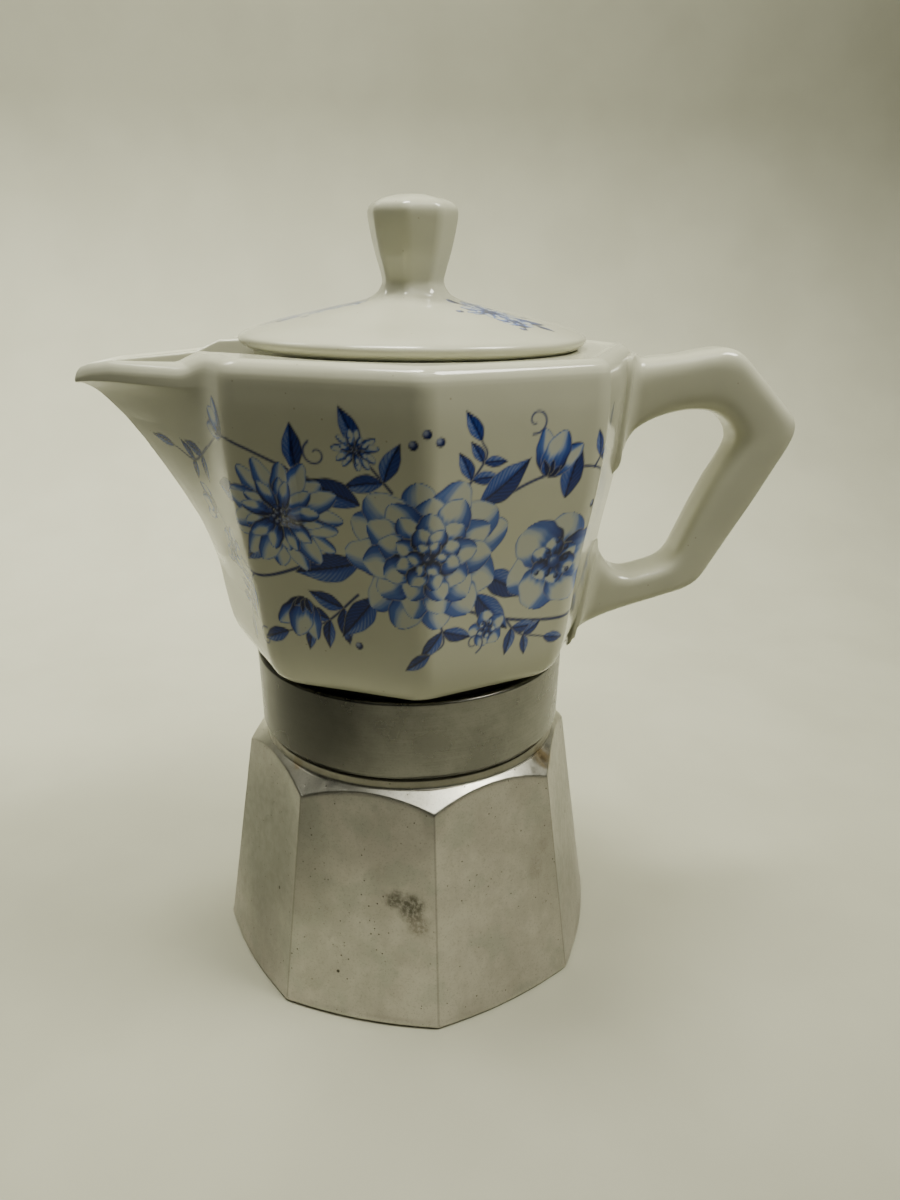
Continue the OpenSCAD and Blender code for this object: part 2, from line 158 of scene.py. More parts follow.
def filleted(corners, steps=7):
    """Closed outline of corners [r, z, fillet] with each corner rounded by its fillet."""
    most_of_side, straight, support = 0.49, math.radians(88), 0.12
    p = np.array(corners, float)
    out = []
    for before, here, after in zip(np.roll(p, 1, 0), p, np.roll(p, -1, 0)):
        corner = here[:2]
        into, away = before[:2] - corner, after[:2] - corner
        room_in, room_out = np.linalg.norm(into), np.linalg.norm(away)
        into, away = into / room_in, away / room_out
        half = math.acos(np.clip(into @ away, -1, 1)) / 2
        if here[2] == 0 or half > straight:
            out.append(corner[None])
            continue
        reach = min(here[2] / math.tan(half), most_of_side * room_in, most_of_side * room_out)
        radius = reach * math.tan(half)
        middle = corner + (into + away) / np.linalg.norm(into + away) * radius / math.sin(half)
        start, end = corner + into * reach - middle, corner + away * reach - middle
        a0, a1 = math.atan2(start[1], start[0]), math.atan2(end[1], end[0])
        turn = (a1 - a0 + math.pi) % (2 * math.pi) - math.pi
        a = a0 + turn * np.linspace(0, 1, steps)
        arc = middle + radius * np.stack([np.cos(a), np.sin(a)], -1)
        beyond = support * radius
        out.append(np.vstack([arc[:1] + into * beyond, arc, arc[-1:] + away * beyond]))
    return np.vstack(out)


def polar(r, a, z):
    """Points from radius, direction and height."""
    c, s = compass(a)
    return np.stack(np.broadcast_arrays(r * c, r * s, z), -1)


def turned(outline, sides=288):
    """Grid of points for an outline of [r, z] turned round the axis."""
    a = np.arange(sides) * 360 / sides
    return polar(outline[:, :1], a[None], outline[:, 1:2])


def grid_mesh(grid, closed=True):
    """Mesh over a grid of points: rows along the section, columns round the axis.

    A closed section joins its last row to its first. An open one gets a fan over each end.
    """
    rows, cols = grid.shape[:2]
    points = grid.reshape(-1, 3)
    i, j = np.meshgrid(np.arange(rows if closed else rows - 1), np.arange(cols), indexing="ij")
    low, high, right = i * cols, (i + 1) % rows * cols, (j + 1) % cols
    quads = np.stack([low + j, low + right, high + right, high + j], -1).reshape(-1, 4)
    fans = np.zeros((0, 3), int)
    if not closed:
        k = np.arange(cols)
        beside, top = (k + 1) % cols, (rows - 1) * cols
        first = np.full(cols, len(points))
        points = np.vstack([points, grid[0].mean(0), grid[-1].mean(0)])
        ends = [(first, beside, k), (first + 1, top + k, top + beside)]
        fans = np.vstack([np.stack(end, -1) for end in ends])
    triangles = np.vstack([quads[:, :3], quads[:, [0, 2, 3]], fans])
    a, b, c = (points[triangles[:, n]] for n in range(3))
    if np.einsum("ij,ij->", a, np.cross(b, c)) < 0:
        quads, fans = quads[:, ::-1], fans[:, ::-1]
    return mesh_of(points, quads.tolist() + fans.tolist())


def mesh_of(points, faces):
    """Smooth-shaded mesh from points in millimetres."""
    mesh = bpy.data.meshes.new("mesh")
    mesh.from_pydata((points * MM).tolist(), [], faces)
    mesh.validate()
    mesh.shade_smooth()
    return mesh


def store(mesh, name, values):
    """Keeps a number, or a colour with its cover, for each point; the last points may have none."""
    if values.ndim == 1:
        layer, key = mesh.attributes.new(name, "FLOAT", "POINT"), "value"
    else:
        layer, key = mesh.color_attributes.new(name, "FLOAT_COLOR", "POINT"), "color"
    every = np.zeros((len(mesh.vertices), *values.shape[1:]), np.float32)
    every[: len(values)] = values
    layer.data.foreach_set(key, every.ravel())


def add_object(name, data):
    """New object in the scene for a mesh, a light or the camera."""
    data.name = name
    obj = bpy.data.objects.new(name, data)
    bpy.context.scene.collection.objects.link(obj)
    return obj


def piece(name, mesh, body, slot, *nodes):
    """Object that rides on a body and stands for CAD nodes."""
    obj = add_object(name, mesh)
    mesh.materials.append(MATERIALS[slot])
    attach(obj, body)
    if nodes:
        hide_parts(*nodes)
    return obj


# ---- materials


class Shader:
    """A material's node tree, with short calls for its nodes. Sizes are in millimetres."""

    def __init__(self, name, **constants):
        self.material = bpy.data.materials.new(name)
        self.material.use_nodes = True
        self.tree = self.material.node_tree
        self.out = next(n for n in self.tree.nodes if n.type == "BSDF_PRINCIPLED")
        self.set(**constants)
        self.place = self.new("TexCoord").outputs["Object"]

    def new(self, kind):
        return self.tree.nodes.new("ShaderNode" + kind)

    def put(self, socket, value):
        """Links a socket, or sets it to a number, a vector or a colour."""
        if isinstance(value, bpy.types.NodeSocket):
            self.tree.links.new(value, socket)
        else:
            socket.default_value = (*value, 1) if socket.type == "RGBA" else value

    def feed(self, node, **inputs):
        """Sets or links inputs by name, with _ for a space."""
        for key, value in inputs.items():
            self.put(node.inputs[key.replace("_", " ")], value)
        return node.outputs

    def set(self, **sockets):
        """Sets or links the shader's own sockets."""
        self.feed(self.out, **sockets)

    def combine(self, kind, operation, a, b):
        """Outputs of a calculation on two numbers or two vectors."""
        node = self.new(kind)
        node.operation = operation
        self.put(node.inputs[0], a)
        self.put(node.inputs[1], b)
        return node.outputs

    def times(self, a, b):
        return self.combine("Math", "MULTIPLY", a, b)[0]

    def plus(self, a, b):
        return self.combine("Math", "ADD", a, b)[0]

    def between(self, amount, a, b):
        """Number from a to b."""
        return self.plus(self.times(amount, b - a), a)

    def vector(self, operation, a, b):
        """Vector from two vectors."""
        return self.combine("VectorMath", operation, a, b)["Vector"]

    def distance(self, a, b):
        """Distance between two points."""
        return self.combine("VectorMath", "DISTANCE", a, b)["Value"]

    def noise(self, size, detail, roughness=0.55, stretch=(1, 1, 1), at=None):
        """Noise with features of about this size, stretched along the axes."""
        place = self.vector("DIVIDE", at or self.place, tuple(size * MM * s for s in stretch))
        node = self.new("TexNoise")
        return self.feed(node, Vector=place, Scale=1.0, Detail=detail, Roughness=roughness)["Fac"]

    def ramp(self, value, low, high, to_low=0.0, to_high=1.0):
        """Smooth step from to_low to to_high as the value goes from low to high."""
        node = self.new("MapRange")
        node.interpolation_type = "SMOOTHSTEP"
        ends = {"From_Min": low, "From_Max": high, "To_Min": to_low, "To_Max": to_high}
        return self.feed(node, Value=value, **ends)["Result"]

    def mix(self, amount, a, b):
        """Colour from a to b."""
        node = self.new("Mix")
        node.data_type = "RGBA"
        return self.feed(node, Factor=amount, A=a, B=b)["Result"]

    def attribute(self, name, output="Fac"):
        """Value or colour stored in the mesh under a name."""
        node = self.new("Attribute")
        node.attribute_name = name
        return node.outputs[output]

    def bump(self, height, depth, strength, under=None):
        """Bump of the height field, over another one."""
        node = self.new("Bump")
        self.feed(node, Height=height, Distance=depth * MM, Strength=strength)
        if under:
            self.put(node.inputs["Normal"], under)
        return node.outputs["Normal"]

    def spots(self, size, share):
        """Small round marks of about this size; share is how much they cover."""
        place = self.vector("DIVIDE", self.place, (size * MM,) * 3)
        cells = self.feed(self.new("TexVoronoi"), Vector=place, Scale=1.0)
        return self.ramp(cells["Distance"], share, share * 0.6)

    def stain(self, centre, reach, ragged=0.5):
        """Mask round a point, with a ragged edge."""
        away = self.distance(self.place, tuple(c * MM for c in centre))
        wander = self.times(self.noise(reach * 0.7, 4), reach * ragged * 2 * MM)
        outer, inner = reach * (1.2 + ragged) * MM, reach * (0.4 + ragged) * MM
        return self.ramp(self.plus(away, wander), outer, inner)

    def axes(self):
        """Place along x, y and z."""
        node = self.new("SeparateXYZ")
        self.put(node.inputs[0], self.place)
        return node.outputs

    def radius(self):
        """Distance from the upright axis, as a vector along X."""
        node = self.new("CombineXYZ")
        flat = self.vector("MULTIPLY", self.place, (1, 1, 0))
        self.put(node.inputs[0], self.distance(flat, (0, 0, 0)))
        return node.outputs[0]


def porcelain():
    """Cream-white gloss glaze over a painted colour attribute."""
    s = Shader("glazed_porcelain", IOR=1.46, Coat_Weight=0.12, Coat_Roughness=0.02)
    cream = s.mix(s.ramp(s.noise(34, 3), 0.35, 0.65), (0.50, 0.495, 0.38), (0.54, 0.535, 0.415))
    specks = s.times(s.spots(4.3, 0.06), 0.45)
    glaze = s.mix(specks, cream, (0.24, 0.19, 0.12))
    s.set(Base_Color=s.mix(s.attribute("paint", "Alpha"), glaze, s.attribute("paint", "Color")))
    s.set(Roughness=s.ramp(s.noise(12, 4), 0.3, 0.7, 0.07, 0.13))
    ripple = s.bump(s.noise(9, 2), 0.06, 0.3)
    s.set(Normal=s.bump(s.noise(0.9, 2), 0.008, 0.2, ripple))
    return s.material


def facet_stains_and_shade(s, metal):
    """The marks that use has left on the facets, each where it is seen, and broad washes of painted shade
    over the left and right facets.
    """
    soot, dull, lime = (0.1, 0.095, 0.078), (0.22, 0.2, 0.16), (0.36, 0.26, 0.12)
    patchy = s.ramp(s.noise(0.9, 4, 0.65), 0.32, 0.6, 0.35, 1.0)
    for centre, reach, strength, tint in (
        ((-2.2, -42.1, 30.0), 3.8, 0.9, soot),
        ((-6.2, -42.0, 31.4), 2.8, 0.85, soot),
        ((-0.9, -43.5, 25.8), 3.2, 0.65, (0.17, 0.145, 0.12)),
        ((27.7, -31.7, 30.0), 2.6, 0.34, dull),
        ((29.8, -30.0, 36.0), 2.0, 0.26, dull),
        ((-9.2, -38.8, 37.2), 3.0, 0.16, (0.2, 0.175, 0.14)),
        ((-25.9, -37.8, 7.3), 3.0, 0.24, (0.25, 0.23, 0.18)),
    ):
        metal = s.mix(s.times(s.times(s.stain(centre, reach), patchy), strength), metal, tint)
    for centre, reach, ragged, strength, tint in (
        ((-20, -38, 14), 17, 0.7, 0.24, (0.36, 0.37, 0.32)),
        # Painted shade: the left facets are darkened
        ((-42, -19, 34), 31, 0.3, 0.9, (0.21, 0.21, 0.185)),
        # Painted shade: the right facets are darkened
        ((43, -12, 30), 30, 0.3, 0.6, (0.27, 0.26, 0.23)),
        ((31.2, -22.5, 56.0), 3.6, 0.6, 0.85, lime),
        ((-27.4, -23.1, 57), 2.0, 0.6, 0.6, lime),
    ):
        metal = s.mix(s.times(s.stain(centre, reach, ragged), strength), metal, tint)
    return metal


def cast_aluminium():
    """The boiler: matt facets and brighter machined faces, stained by use, with painted shade under the
    collar, along the facet corners and over the left and right facets.
    """
    s = Shader("boiler_aluminium", Metallic=1.0)
    machined = s.attribute("machined")
    streaks = s.noise(3, 3, 0.6, stretch=(1, 1, 5))
    cloud = s.ramp(s.plus(s.times(s.noise(14, 5, 0.65), 0.8), s.times(streaks, 0.2)), 0.38, 0.62)
    facet = s.mix(cloud, (0.475, 0.445, 0.41), (0.58, 0.55, 0.51))
    facet = s.mix(s.times(s.ramp(s.noise(10, 4), 0.5, 0.64), 0.45), facet, (0.39, 0.40, 0.36))
    bare = s.mix(s.ramp(s.noise(5, 4), 0.3, 0.7), (0.53, 0.515, 0.44), (0.68, 0.665, 0.58))
    grain = s.noise(0.5, 3, 0.7)
    metal = facet_stains_and_shade(s, s.mix(machined, facet, bare))
    metal = s.mix(s.times(s.ramp(grain, 0.5, 0.72), 0.3), metal, (0.2, 0.19, 0.16))
    metal = s.mix(s.times(s.spots(0.9, 0.16), 0.3), metal, (0.16, 0.15, 0.125))
    # Painted shade: a thin dark line along each facet corner
    metal = s.mix(s.times(s.attribute("corner"), 0.32), metal, (0.14, 0.13, 0.11))
    sparse = s.ramp(s.noise(9, 3), 0.44, 0.56)
    pits = s.times(s.spots(1.8, 0.13), sparse)
    metal = s.mix(s.times(pits, 0.8), metal, (0.1, 0.088, 0.07))
    rare = s.times(s.spots(9.5, 0.055), 0.9)
    metal = s.mix(rare, metal, (0.06, 0.052, 0.04))
    # Painted shade: the band and neck under the collar are darkened
    under_collar_shade = s.times(s.ramp(s.axes()[2], COLLAR_SHADE_Z * MM, (COLLAR_SHADE_Z + 0.7) * MM), 0.75)
    s.set(Base_Color=s.mix(under_collar_shade, metal, (0.13, 0.12, 0.1)))
    matt = s.between(machined, 0.40, 0.36)
    s.set(Roughness=s.plus(matt, s.ramp(s.noise(2.2, 4), 0.3, 0.7, -0.05, 0.06)))
    cut = s.times(s.noise(0.3, 2, 0.5, at=s.radius()), machined)
    rings = s.bump(cut, 0.004, 0.4)
    cast = s.between(machined, 1.0, 0.15)
    drawn = s.noise(0.5, 3, 0.6, stretch=(1, 1, 14))
    scratches = s.bump(s.times(drawn, cast), 0.006, 0.4, rings)
    dents = s.bump(s.plus(pits, rare), -0.1, 0.6, scratches)
    s.set(Normal=s.bump(s.times(grain, cast), 0.016, 0.3, dents))
    return s.material


def turned_metal(name, dark, light, rough, line, depth=0.012, shade_patch_at=None):
    """Metal turned on a lathe: fine lines round the axis, dull smudges and, where a point is given, a
    darker patch of painted shade.
    """
    s = Shader(name, Metallic=1.0)
    lines = s.noise(line, 3, 0.6, stretch=(90, 90, 1))
    smudge = s.noise(13, 4, 0.6)
    tone = s.plus(s.times(lines, 0.25), s.times(smudge, 0.75))
    metal = s.mix(s.ramp(tone, 0.38, 0.62), dark, light)
    grain = s.noise(0.45, 3, 0.7)
    metal = s.mix(s.times(s.ramp(grain, 0.5, 0.72), 0.25), metal, tuple(0.45 * c for c in dark))
    if shade_patch_at:
        # Painted shade: a darker patch round the given point
        metal = s.mix(s.times(s.stain(shade_patch_at, 24, 0.2), 0.85), metal, tuple(0.28 * c for c in dark))
    marks = s.times(s.ramp(s.noise(1.9, 5, 0.7), 0.62, 0.72), 0.35)
    s.set(Base_Color=s.mix(marks, metal, tuple(0.5 * c for c in dark)))
    s.set(Roughness=s.ramp(smudge, 0.3, 0.7, rough - 0.05, rough + 0.08))
    s.set(Normal=s.bump(grain, 0.014, 0.3, s.bump(lines, depth, 0.5)))
    return s.material


def rubber(name, dark, light):
    """Matt rubber, a little cloudy."""
    s = Shader(name, Specular_IOR_Level=0.4)
    s.set(Base_Color=s.mix(s.ramp(s.noise(4, 4), 0.35, 0.65), dark, light))
    s.set(Roughness=s.ramp(s.noise(1.5, 3), 0.3, 0.7, 0.55, 0.75))
    s.set(Normal=s.bump(s.noise(0.5, 3), 0.03, 0.4))
    return s.material


MATERIALS = {
    "glazed_porcelain": porcelain(),
    "boiler_aluminium": cast_aluminium(),
    "pale_rubber": rubber("pale_rubber", (0.55, 0.51, 0.42), (0.68, 0.64, 0.54)),
    "black_rubber": rubber("black_rubber", (0.012, 0.012, 0.011), (0.03, 0.029, 0.027)),
}
# Dark and light, roughness, width and depth of the lines, and where a patch of painted shade is laid
for kind, *looks in (
    # The collar's darker patch at its front left is painted shade
    ("collar_aluminium", (0.185, 0.182, 0.166), (0.26, 0.256, 0.234), 0.3, 0.12, 0.006, (-27, -25, 70)),
    ("sheet_aluminium", (0.48, 0.47, 0.44), (0.68, 0.67, 0.64), 0.3, 0.8),
    ("column_aluminium", (0.44, 0.43, 0.40), (0.62, 0.61, 0.58), 0.33, 0.5),
    ("valve_brass", (0.42, 0.28, 0.09), (0.68, 0.49, 0.2), 0.3, 0.4),
    ("valve_steel", (0.45, 0.45, 0.45), (0.66, 0.66, 0.66), 0.22, 0.4),
    ("copper_washer", (0.38, 0.15, 0.08), (0.6, 0.28, 0.17), 0.34, 0.6),
):
    MATERIALS[kind] = turned_metal(kind, *looks)


# ---- painted flowers


# Shade and colour of the ink, from the palest wash to the darkest line
INK = np.array([
    (0.0, 0.30, 0.41, 0.62), (0.3, 0.09, 0.175, 0.47), (0.6, 0.026, 0.066, 0.31),
    (0.85, 0.009, 0.024, 0.16), (1.0, 0.005, 0.009, 0.055),
])
BRUSH_EDGE = 0.42


def outwards(centre, reach, heading, tilt=1.0):
    """Point at some reach from a centre. tilt squeezes the height."""
    c, s = compass(heading)
    return centre[0] + reach * c, centre[1] + reach * tilt * s


def heading_to(start, end):
    """Direction from one point to another."""
    return math.degrees(math.atan2(end[1] - start[1], end[0] - start[0]))


def blade_edge(t, side, half):
    """Distance in from a blade's outline, and place across it from -1 to 1."""
    edge = np.where((t > 0) & (t < 1), half - np.abs(side), -9.0)
    return edge, side / np.maximum(half, 0.05)


class Painting:
    """Blue brushwork on points with flat coordinates u, v in millimetres."""

    def __init__(self, u, v):
        self.u, self.v = u, v
        self.paint = np.zeros((len(u), 4))

    def near(self, low, high):
        """Numbers of the points inside a rectangle."""
        beside = (self.u > low[0]) & (self.u < high[0])
        return np.nonzero(beside & (self.v > low[1]) & (self.v < high[1]))[0]

    def around(self, centre, reach):
        """Numbers of the points near a centre, and their places from it."""
        u, v = centre
        where = self.near((u - reach, v - reach), (u + reach, v + reach))
        return where, self.u[where] - u, self.v[where] - v

    def lay(self, where, cover, shade):
        """Puts ink over what is there."""
        cover = np.clip(cover, 0, 1)
        ink = np.stack([np.interp(shade, INK[:, 0], channel) for channel in INK.T[1:]], -1)
        below = self.paint[where]
        under = below[:, 3] * (1 - cover)
        total = (cover + under)[:, None]
        colour = (ink * cover[:, None] + below[:, :3] * under[:, None]) / np.maximum(total, 1e-6)
        self.paint[where] = np.hstack([colour, total])

    def fill(self, where, edge, strength, shade):
        """Lays a shape that hides the ink behind it."""
        body = ease(edge / BRUSH_EDGE + 0.5)
        self.paint[where, 3] *= 1 - body
        self.lay(where, body * np.clip(strength, 0, 1), shade)

    def blade(self, base, heading, length, width, bend):
        """Points near a petal or leaf: which, way along from 0 to 1, and offset from its middle."""
        where, x, y = self.around(base, length + width)
        c, s = compass(heading)
        t = (x * c + y * s) / length
        return where, t, y * c - x * s - bend * length * t * t

    def petal(self, base, heading, length, width, bend, dark, blunt):
        """A brushed petal: dark at its root and along one flank, with veins and a pale patch."""
        where, t, side = self.blade(base, heading, length, width, bend)
        phase = rng.uniform(0, 6.28)
        frill = 1 + 0.045 * np.sin(8 * t + phase) + 0.03 * np.sin(19 * t + 2 * phase)
        swell = np.sin(np.pi * np.clip(t, 0.0005, 0.9995) ** 0.9)
        edge, s = blade_edge(t, side, width / 2 * swell**blunt * frill)
        lean = s if phase > 3.14 else -s
        root = 1 - ease(t / 0.7)
        flank = ease((lean + 0.1) / 1.0)
        veins = np.sin(s * 8 + 1.4 * np.sin(3 * t + phase) + phase) + 0.6 * np.sin(s * 21 + 3 * phase)
        glow = np.exp(-(((t - 0.66) / 0.24) ** 2) - ((lean + 0.42) / 0.5) ** 2)
        lip = ease(1 - edge / 0.55)
        shade = dark * (0.34 + 0.72 * root + 0.5 * flank) + 0.1 * veins * (0.4 + root)
        shade = np.clip(shade - 0.62 * glow * (1 - 0.5 * root) + 0.3 * lip, 0, 1)
        self.fill(where, edge, 0.16 + 2.1 * shade, shade)

    def leaf(self, base, heading, length, width, bend, dark):
        """A pointed leaf: one half dark and the other pale, with a midrib and side veins."""
        where, t, side = self.blade(base, heading, length, width, bend)
        swell = np.sin(np.pi * np.clip(t, 0.0005, 0.9995) ** 0.85)
        edge, s = blade_edge(t, side, width / 2 * swell**1.1 * (1 + 0.02 * np.sin(22 * t)))
        lit = ease((s + 0.05) / 0.5)
        veins = 0.5 + 0.5 * np.sin(5.2 * length * (t - 0.3 * np.abs(s)) + 1.5)
        shade = dark * (1 - 0.55 * lit * (0.5 + 0.5 * t)) + 0.13 * (veins - 0.5)
        rib = ease(1 - np.abs(side) / 0.3)
        tip = ease((t - 0.7) / 0.3)
        shade = np.clip(shade + 0.35 * rib + 0.2 * tip + 0.2 * ease(1 - edge / 0.4), 0, 1)
        self.fill(where, edge, 0.35 + 1.2 * shade, shade)

    def line(self, points, start, end, shade=0.92):
        """A brush line through the points, from one width to another."""
        path = curve(points, 0.6)
        where = self.near(path.min(0) - 2, path.max(0) + 2)
        gap = np.full(len(where), 1e9)
        width = np.zeros(len(where))
        for k, (a, b) in enumerate(zip(path, path[1:])):
            x, y = self.u[where] - a[0], self.v[where] - a[1]
            d = b - a
            t = np.clip((x * d[0] + y * d[1]) / (d @ d), 0, 1)
            away = np.hypot(x - t * d[0], y - t * d[1])
            closer = away < gap
            gap = np.where(closer, away, gap)
            width = np.where(closer, start + (end - start) * (k + t) / (len(path) - 1), width)
        cover = 0.95 * ease((width / 2 - gap) / BRUSH_EDGE + 0.5)
        self.lay(where, cover, np.full(len(where), shade))

    def dot(self, centre, radius, dark=0.85):
        """A berry or the middle of a flower, with a light to one side."""
        where, x, y = self.around(centre, 2 * radius)
        away = np.hypot(x, y) / radius
        light = ease(1 - np.hypot(x + 0.35 * radius, y - 0.35 * radius) / radius)
        cover = ease((1 - away) * radius / 0.3 + 0.5)
        self.lay(where, cover * (1 - 0.5 * light), np.clip(dark - 0.5 * light + 0.1 * away, 0, 1))


def ring_of_petals(p, centre, size, count, inner, outer, width, turn, tilt, dark, blunt=0.5):
    """Petals round a centre, in shares of the flower's size. tilt squeezes the height."""
    for k in rng.permutation(count):
        a = turn + 360 * k / count + rng.uniform(-5, 5)
        base, tip = (outwards(centre, share * size, a, tilt) for share in (inner, outer))
        length = math.dist(base, tip) * rng.uniform(0.93, 1.07)
        breadth = width * size * rng.uniform(0.9, 1.1)
        p.petal(base, heading_to(base, tip), length, breadth, rng.uniform(-0.14, 0.14), dark, blunt)


def many_petalled(p, centre, size):
    """A full round flower in five rings of petals."""
    for count, inner, outer, width, turn, dark in (
        (12, 0.4, 1.0, 0.5, 8, 0.55), (11, 0.3, 0.8, 0.42, 24, 0.62), (9, 0.2, 0.6, 0.36, 5, 0.72),
        (8, 0.1, 0.42, 0.27, 20, 0.85), (6, 0.02, 0.24, 0.18, 0, 1.0),
    ):
        ring_of_petals(p, centre, size, count, inner, outer, width, turn, 0.94, dark)
    p.dot(centre, 0.07 * size, 0.95)


def open_flower(p, centre, size, petals, turn):
    """A flat open flower with broad petals and a ring of stamens."""
    ring_of_petals(p, centre, size, petals, 0.1, 1, 0.86, turn, 0.92, 0.62, 0.4)
    ring_of_petals(p, centre, size, petals, 0.08, 0.5, 0.4, turn + 26, 0.92, 0.9)
    stamens = 9 if size > 6 else 6
    for k in range(stamens):
        tip = outwards(centre, size * (0.25 + 0.06 * (k % 3)), 360 * k / stamens + 9)
        p.line([centre, tip], 0.2, 0.16, 1.0)
        p.dot(tip, 0.04 * size + 0.15, 1.0)
    p.dot(centre, 0.12 * size, 0.7)


def daisy(p, centre, size, petals, turn):
    """A flower with one ring of narrow petals round a dark button."""
    ring_of_petals(p, centre, size, petals, 0.18, 1, 0.34, turn, 0.9, 0.6, 0.45)
    ring_of_petals(p, centre, size, petals - 4, 0.14, 0.68, 0.26, turn + 9, 0.9, 0.8)
    for k in range(14):
        p.dot(outwards(centre, 0.05 * size * math.sqrt(k), 137.5 * k), 0.055 * size, 0.95)


def bell_flower(p, base, heading, size):
    """A nodding bell: three long petals and a dark cap where it meets its stem."""
    for spread, width, dark in ((-24, 0.5, 0.85), (24, 0.5, 0.6), (0, 0.62, 0.7)):
        p.petal(base, heading + spread, size, width * size, spread / 260, dark, 0.6)
    for spread in (-36, 0, 36):
        p.leaf(base, heading + spread, 0.38 * size, 0.2 * size, 0, 1.0)


def sprig(p, points, pairs, size, dark=0.75):
    """A thin stem with pointed leaves in pairs and one at its tip."""
    path = curve(points, 0.5)
    p.line(points, 0.6, 0.35)
    for k in range(pairs):
        at = int((0.25 + 0.7 * k / pairs) * (len(path) - 2))
        heading = heading_to(path[at], path[at + 1])
        length = size * (1 - 0.3 * k / pairs) * rng.uniform(0.9, 1.1)
        for side in (-1, 1):
            spread = side * rng.uniform(38, 56)
            p.leaf(path[at], heading + spread, length, 0.44 * length, side * 0.16, dark)
    p.leaf(path[-1], heading_to(path[-2], path[-1]), size, 0.42 * size, 0.08, dark)


def tendril(p, base, heading, size):
    """A hair-thin curl."""
    turns = 1.1
    t = np.linspace(0, 1, 14)
    steps = size * (1 - 0.8 * t) * 0.28
    along, up = compass(heading + t * turns * 360)
    x, y = base[0] + np.cumsum(along * steps), base[1] + np.cumsum(up * steps)
    p.line(np.stack([x, y], -1), 0.42, 0.28, 0.85)


def flower_spray(p):
    """The spray that winds round the jug. u is 0 at the front corner, v is height from its middle."""
    p.line([(54, -14), (38, -19), (20, -17), (2, -10)], 0.9, 0.6)
    p.line([(-4, 0), (-20, -3), (-38, -8), (-54, 2)], 0.9, 0.5)
    p.line([(-14, 10), (-28, 16), (-40, 20), (-50, 16)], 0.7, 0.4)
    p.line([(12, 8), (24, 13), (36, 14), (48, 8)], 0.7, 0.4)
    sprig(p, [(-6, 12), (-11, 18), (-12, 20)], 1, 8.0)
    sprig(p, [(8, 12), (12, 18), (11, 21)], 2, 6.6)
    sprig(p, [(-38, -8), (-44, -14), (-46, -20)], 3, 6.8)
    sprig(p, [(-14, -10), (-22, -17), (-31, -20)], 3, 8.2, 0.85)
    sprig(p, [(4, -15), (5, -20), (2, -22)], 1, 7.2, 0.85)
    sprig(p, [(20, -17), (24, -21), (31, -23)], 2, 6.6)
    sprig(p, [(48, 8), (54, 2), (56, -5)], 3, 6.2)
    sprig(p, [(-50, 16), (-58, 12), (-64, 14)], 2, 6.0)
    sprig(p, [(36, 14), (40, 19), (42, 21)], 1, 5.8)
    for u, v, heading, length, width in (
        (-13, -3, 196, 15, 6.4), (13, -6, -24, 13, 5.8), (12, -10, -52, 13, 5.6),
        (-10, -10, 232, 13, 5.8), (11, 9, 30, 13, 5.8), (-12, 9, 158, 12, 5.4),
        (36, -4, 12, 12, 5.0), (-36, 9, 176, 11, 4.6), (-31, 1, 214, 10, 4.4),
        (30, 8, 84, 11, 4.8), (40, -16, -30, 10, 4.4), (-24, 15, 98, 9, 4.0),
    ):
        p.leaf((u, v), heading, length, width, rng.uniform(-0.15, 0.15), 0.85)
    bell_flower(p, (-40, 20), 142, 7.5)
    bell_flower(p, (-26, -12), 250, 9.5)
    bell_flower(p, (25, 13), 68, 9.5)
    bell_flower(p, (52, -13), -14, 8)
    bell_flower(p, (-54, 2), 170, 7.5)
    daisy(p, (-28.5, 5.5), 12.5, 18, 4)
    open_flower(p, (30.5, -5.5), 12.0, 6, 12)
    many_petalled(p, (1, -1), 17)
    daisy(p, (-12.5, 19.5), 4.4, 11, 10)
    open_flower(p, (15.5, -18.5), 4.6, 5, 30)
    open_flower(p, (46, 9), 5.0, 5, 50)
    open_flower(p, (-48.5, -5), 5.2, 5, 8)
    for u, v, heading in ((-20, 21, 200), (20, 22, -20), (-36, -21, 150), (12, -24, 10), (48, -22, 60)):
        tendril(p, (u, v), heading, 5.0)
    for berry in ((-2, 21), (0.5, 23), (3, 21.5), (-17, -20), (-14.5, -21.5), (38, 6), (40, 4.5)):
        p.dot(berry, 0.9, 0.9)


def lid_spray(p, heading):
    """A small spray on the lid, laid outwards from the knob in the direction heading."""
    c, s = compass(heading)

    def at(out, aside):
        return out * c - aside * s, out * s + aside * c

    p.line([at(11.5, -1.5), at(17, 0.5), at(24, 0), at(30.5, 1.5)], 0.8, 0.5)
    for out, aside, turn, length in (
        (14, 0, 52, 6.4), (15, 0, -50, 6.2), (24, 0, 44, 7.2), (25, 0, -42, 7), (29.5, 1.5, 6, 4.4),
        (22, 0.5, 146, 6), (21, -0.5, 212, 6.2), (28, 1, 70, 5), (28, 0.5, -66, 4.8),
        (12.5, -1.5, 160, 4.2),
    ):
        p.leaf(at(out, aside), heading + turn, length, 0.5 * length, 0.06, 0.98)
    daisy(p, at(19.5, 0), 6.2, 13, heading)
    open_flower(p, at(26.5, -1.5), 4.2, 5, heading)
    open_flower(p, at(13.5, 2.6), 3.2, 5, heading + 20)
    for out, aside in ((16.5, -7), (24, 6.4), (30.5, -5.4)):
        p.dot(at(out, aside), 0.85)


# ---- boiler


def valve_frame():
    """Turns points given along the valve's axis, with its seat face at 0, into the part's frame."""
    place = Matrix.Translation((0, 0, VALVE_Z * MM)) @ Matrix.Rotation(math.radians(VALVE_DIR), 4, "Z")
    return place @ Matrix.Translation((VALVE_FACE * MM, 0, 0))


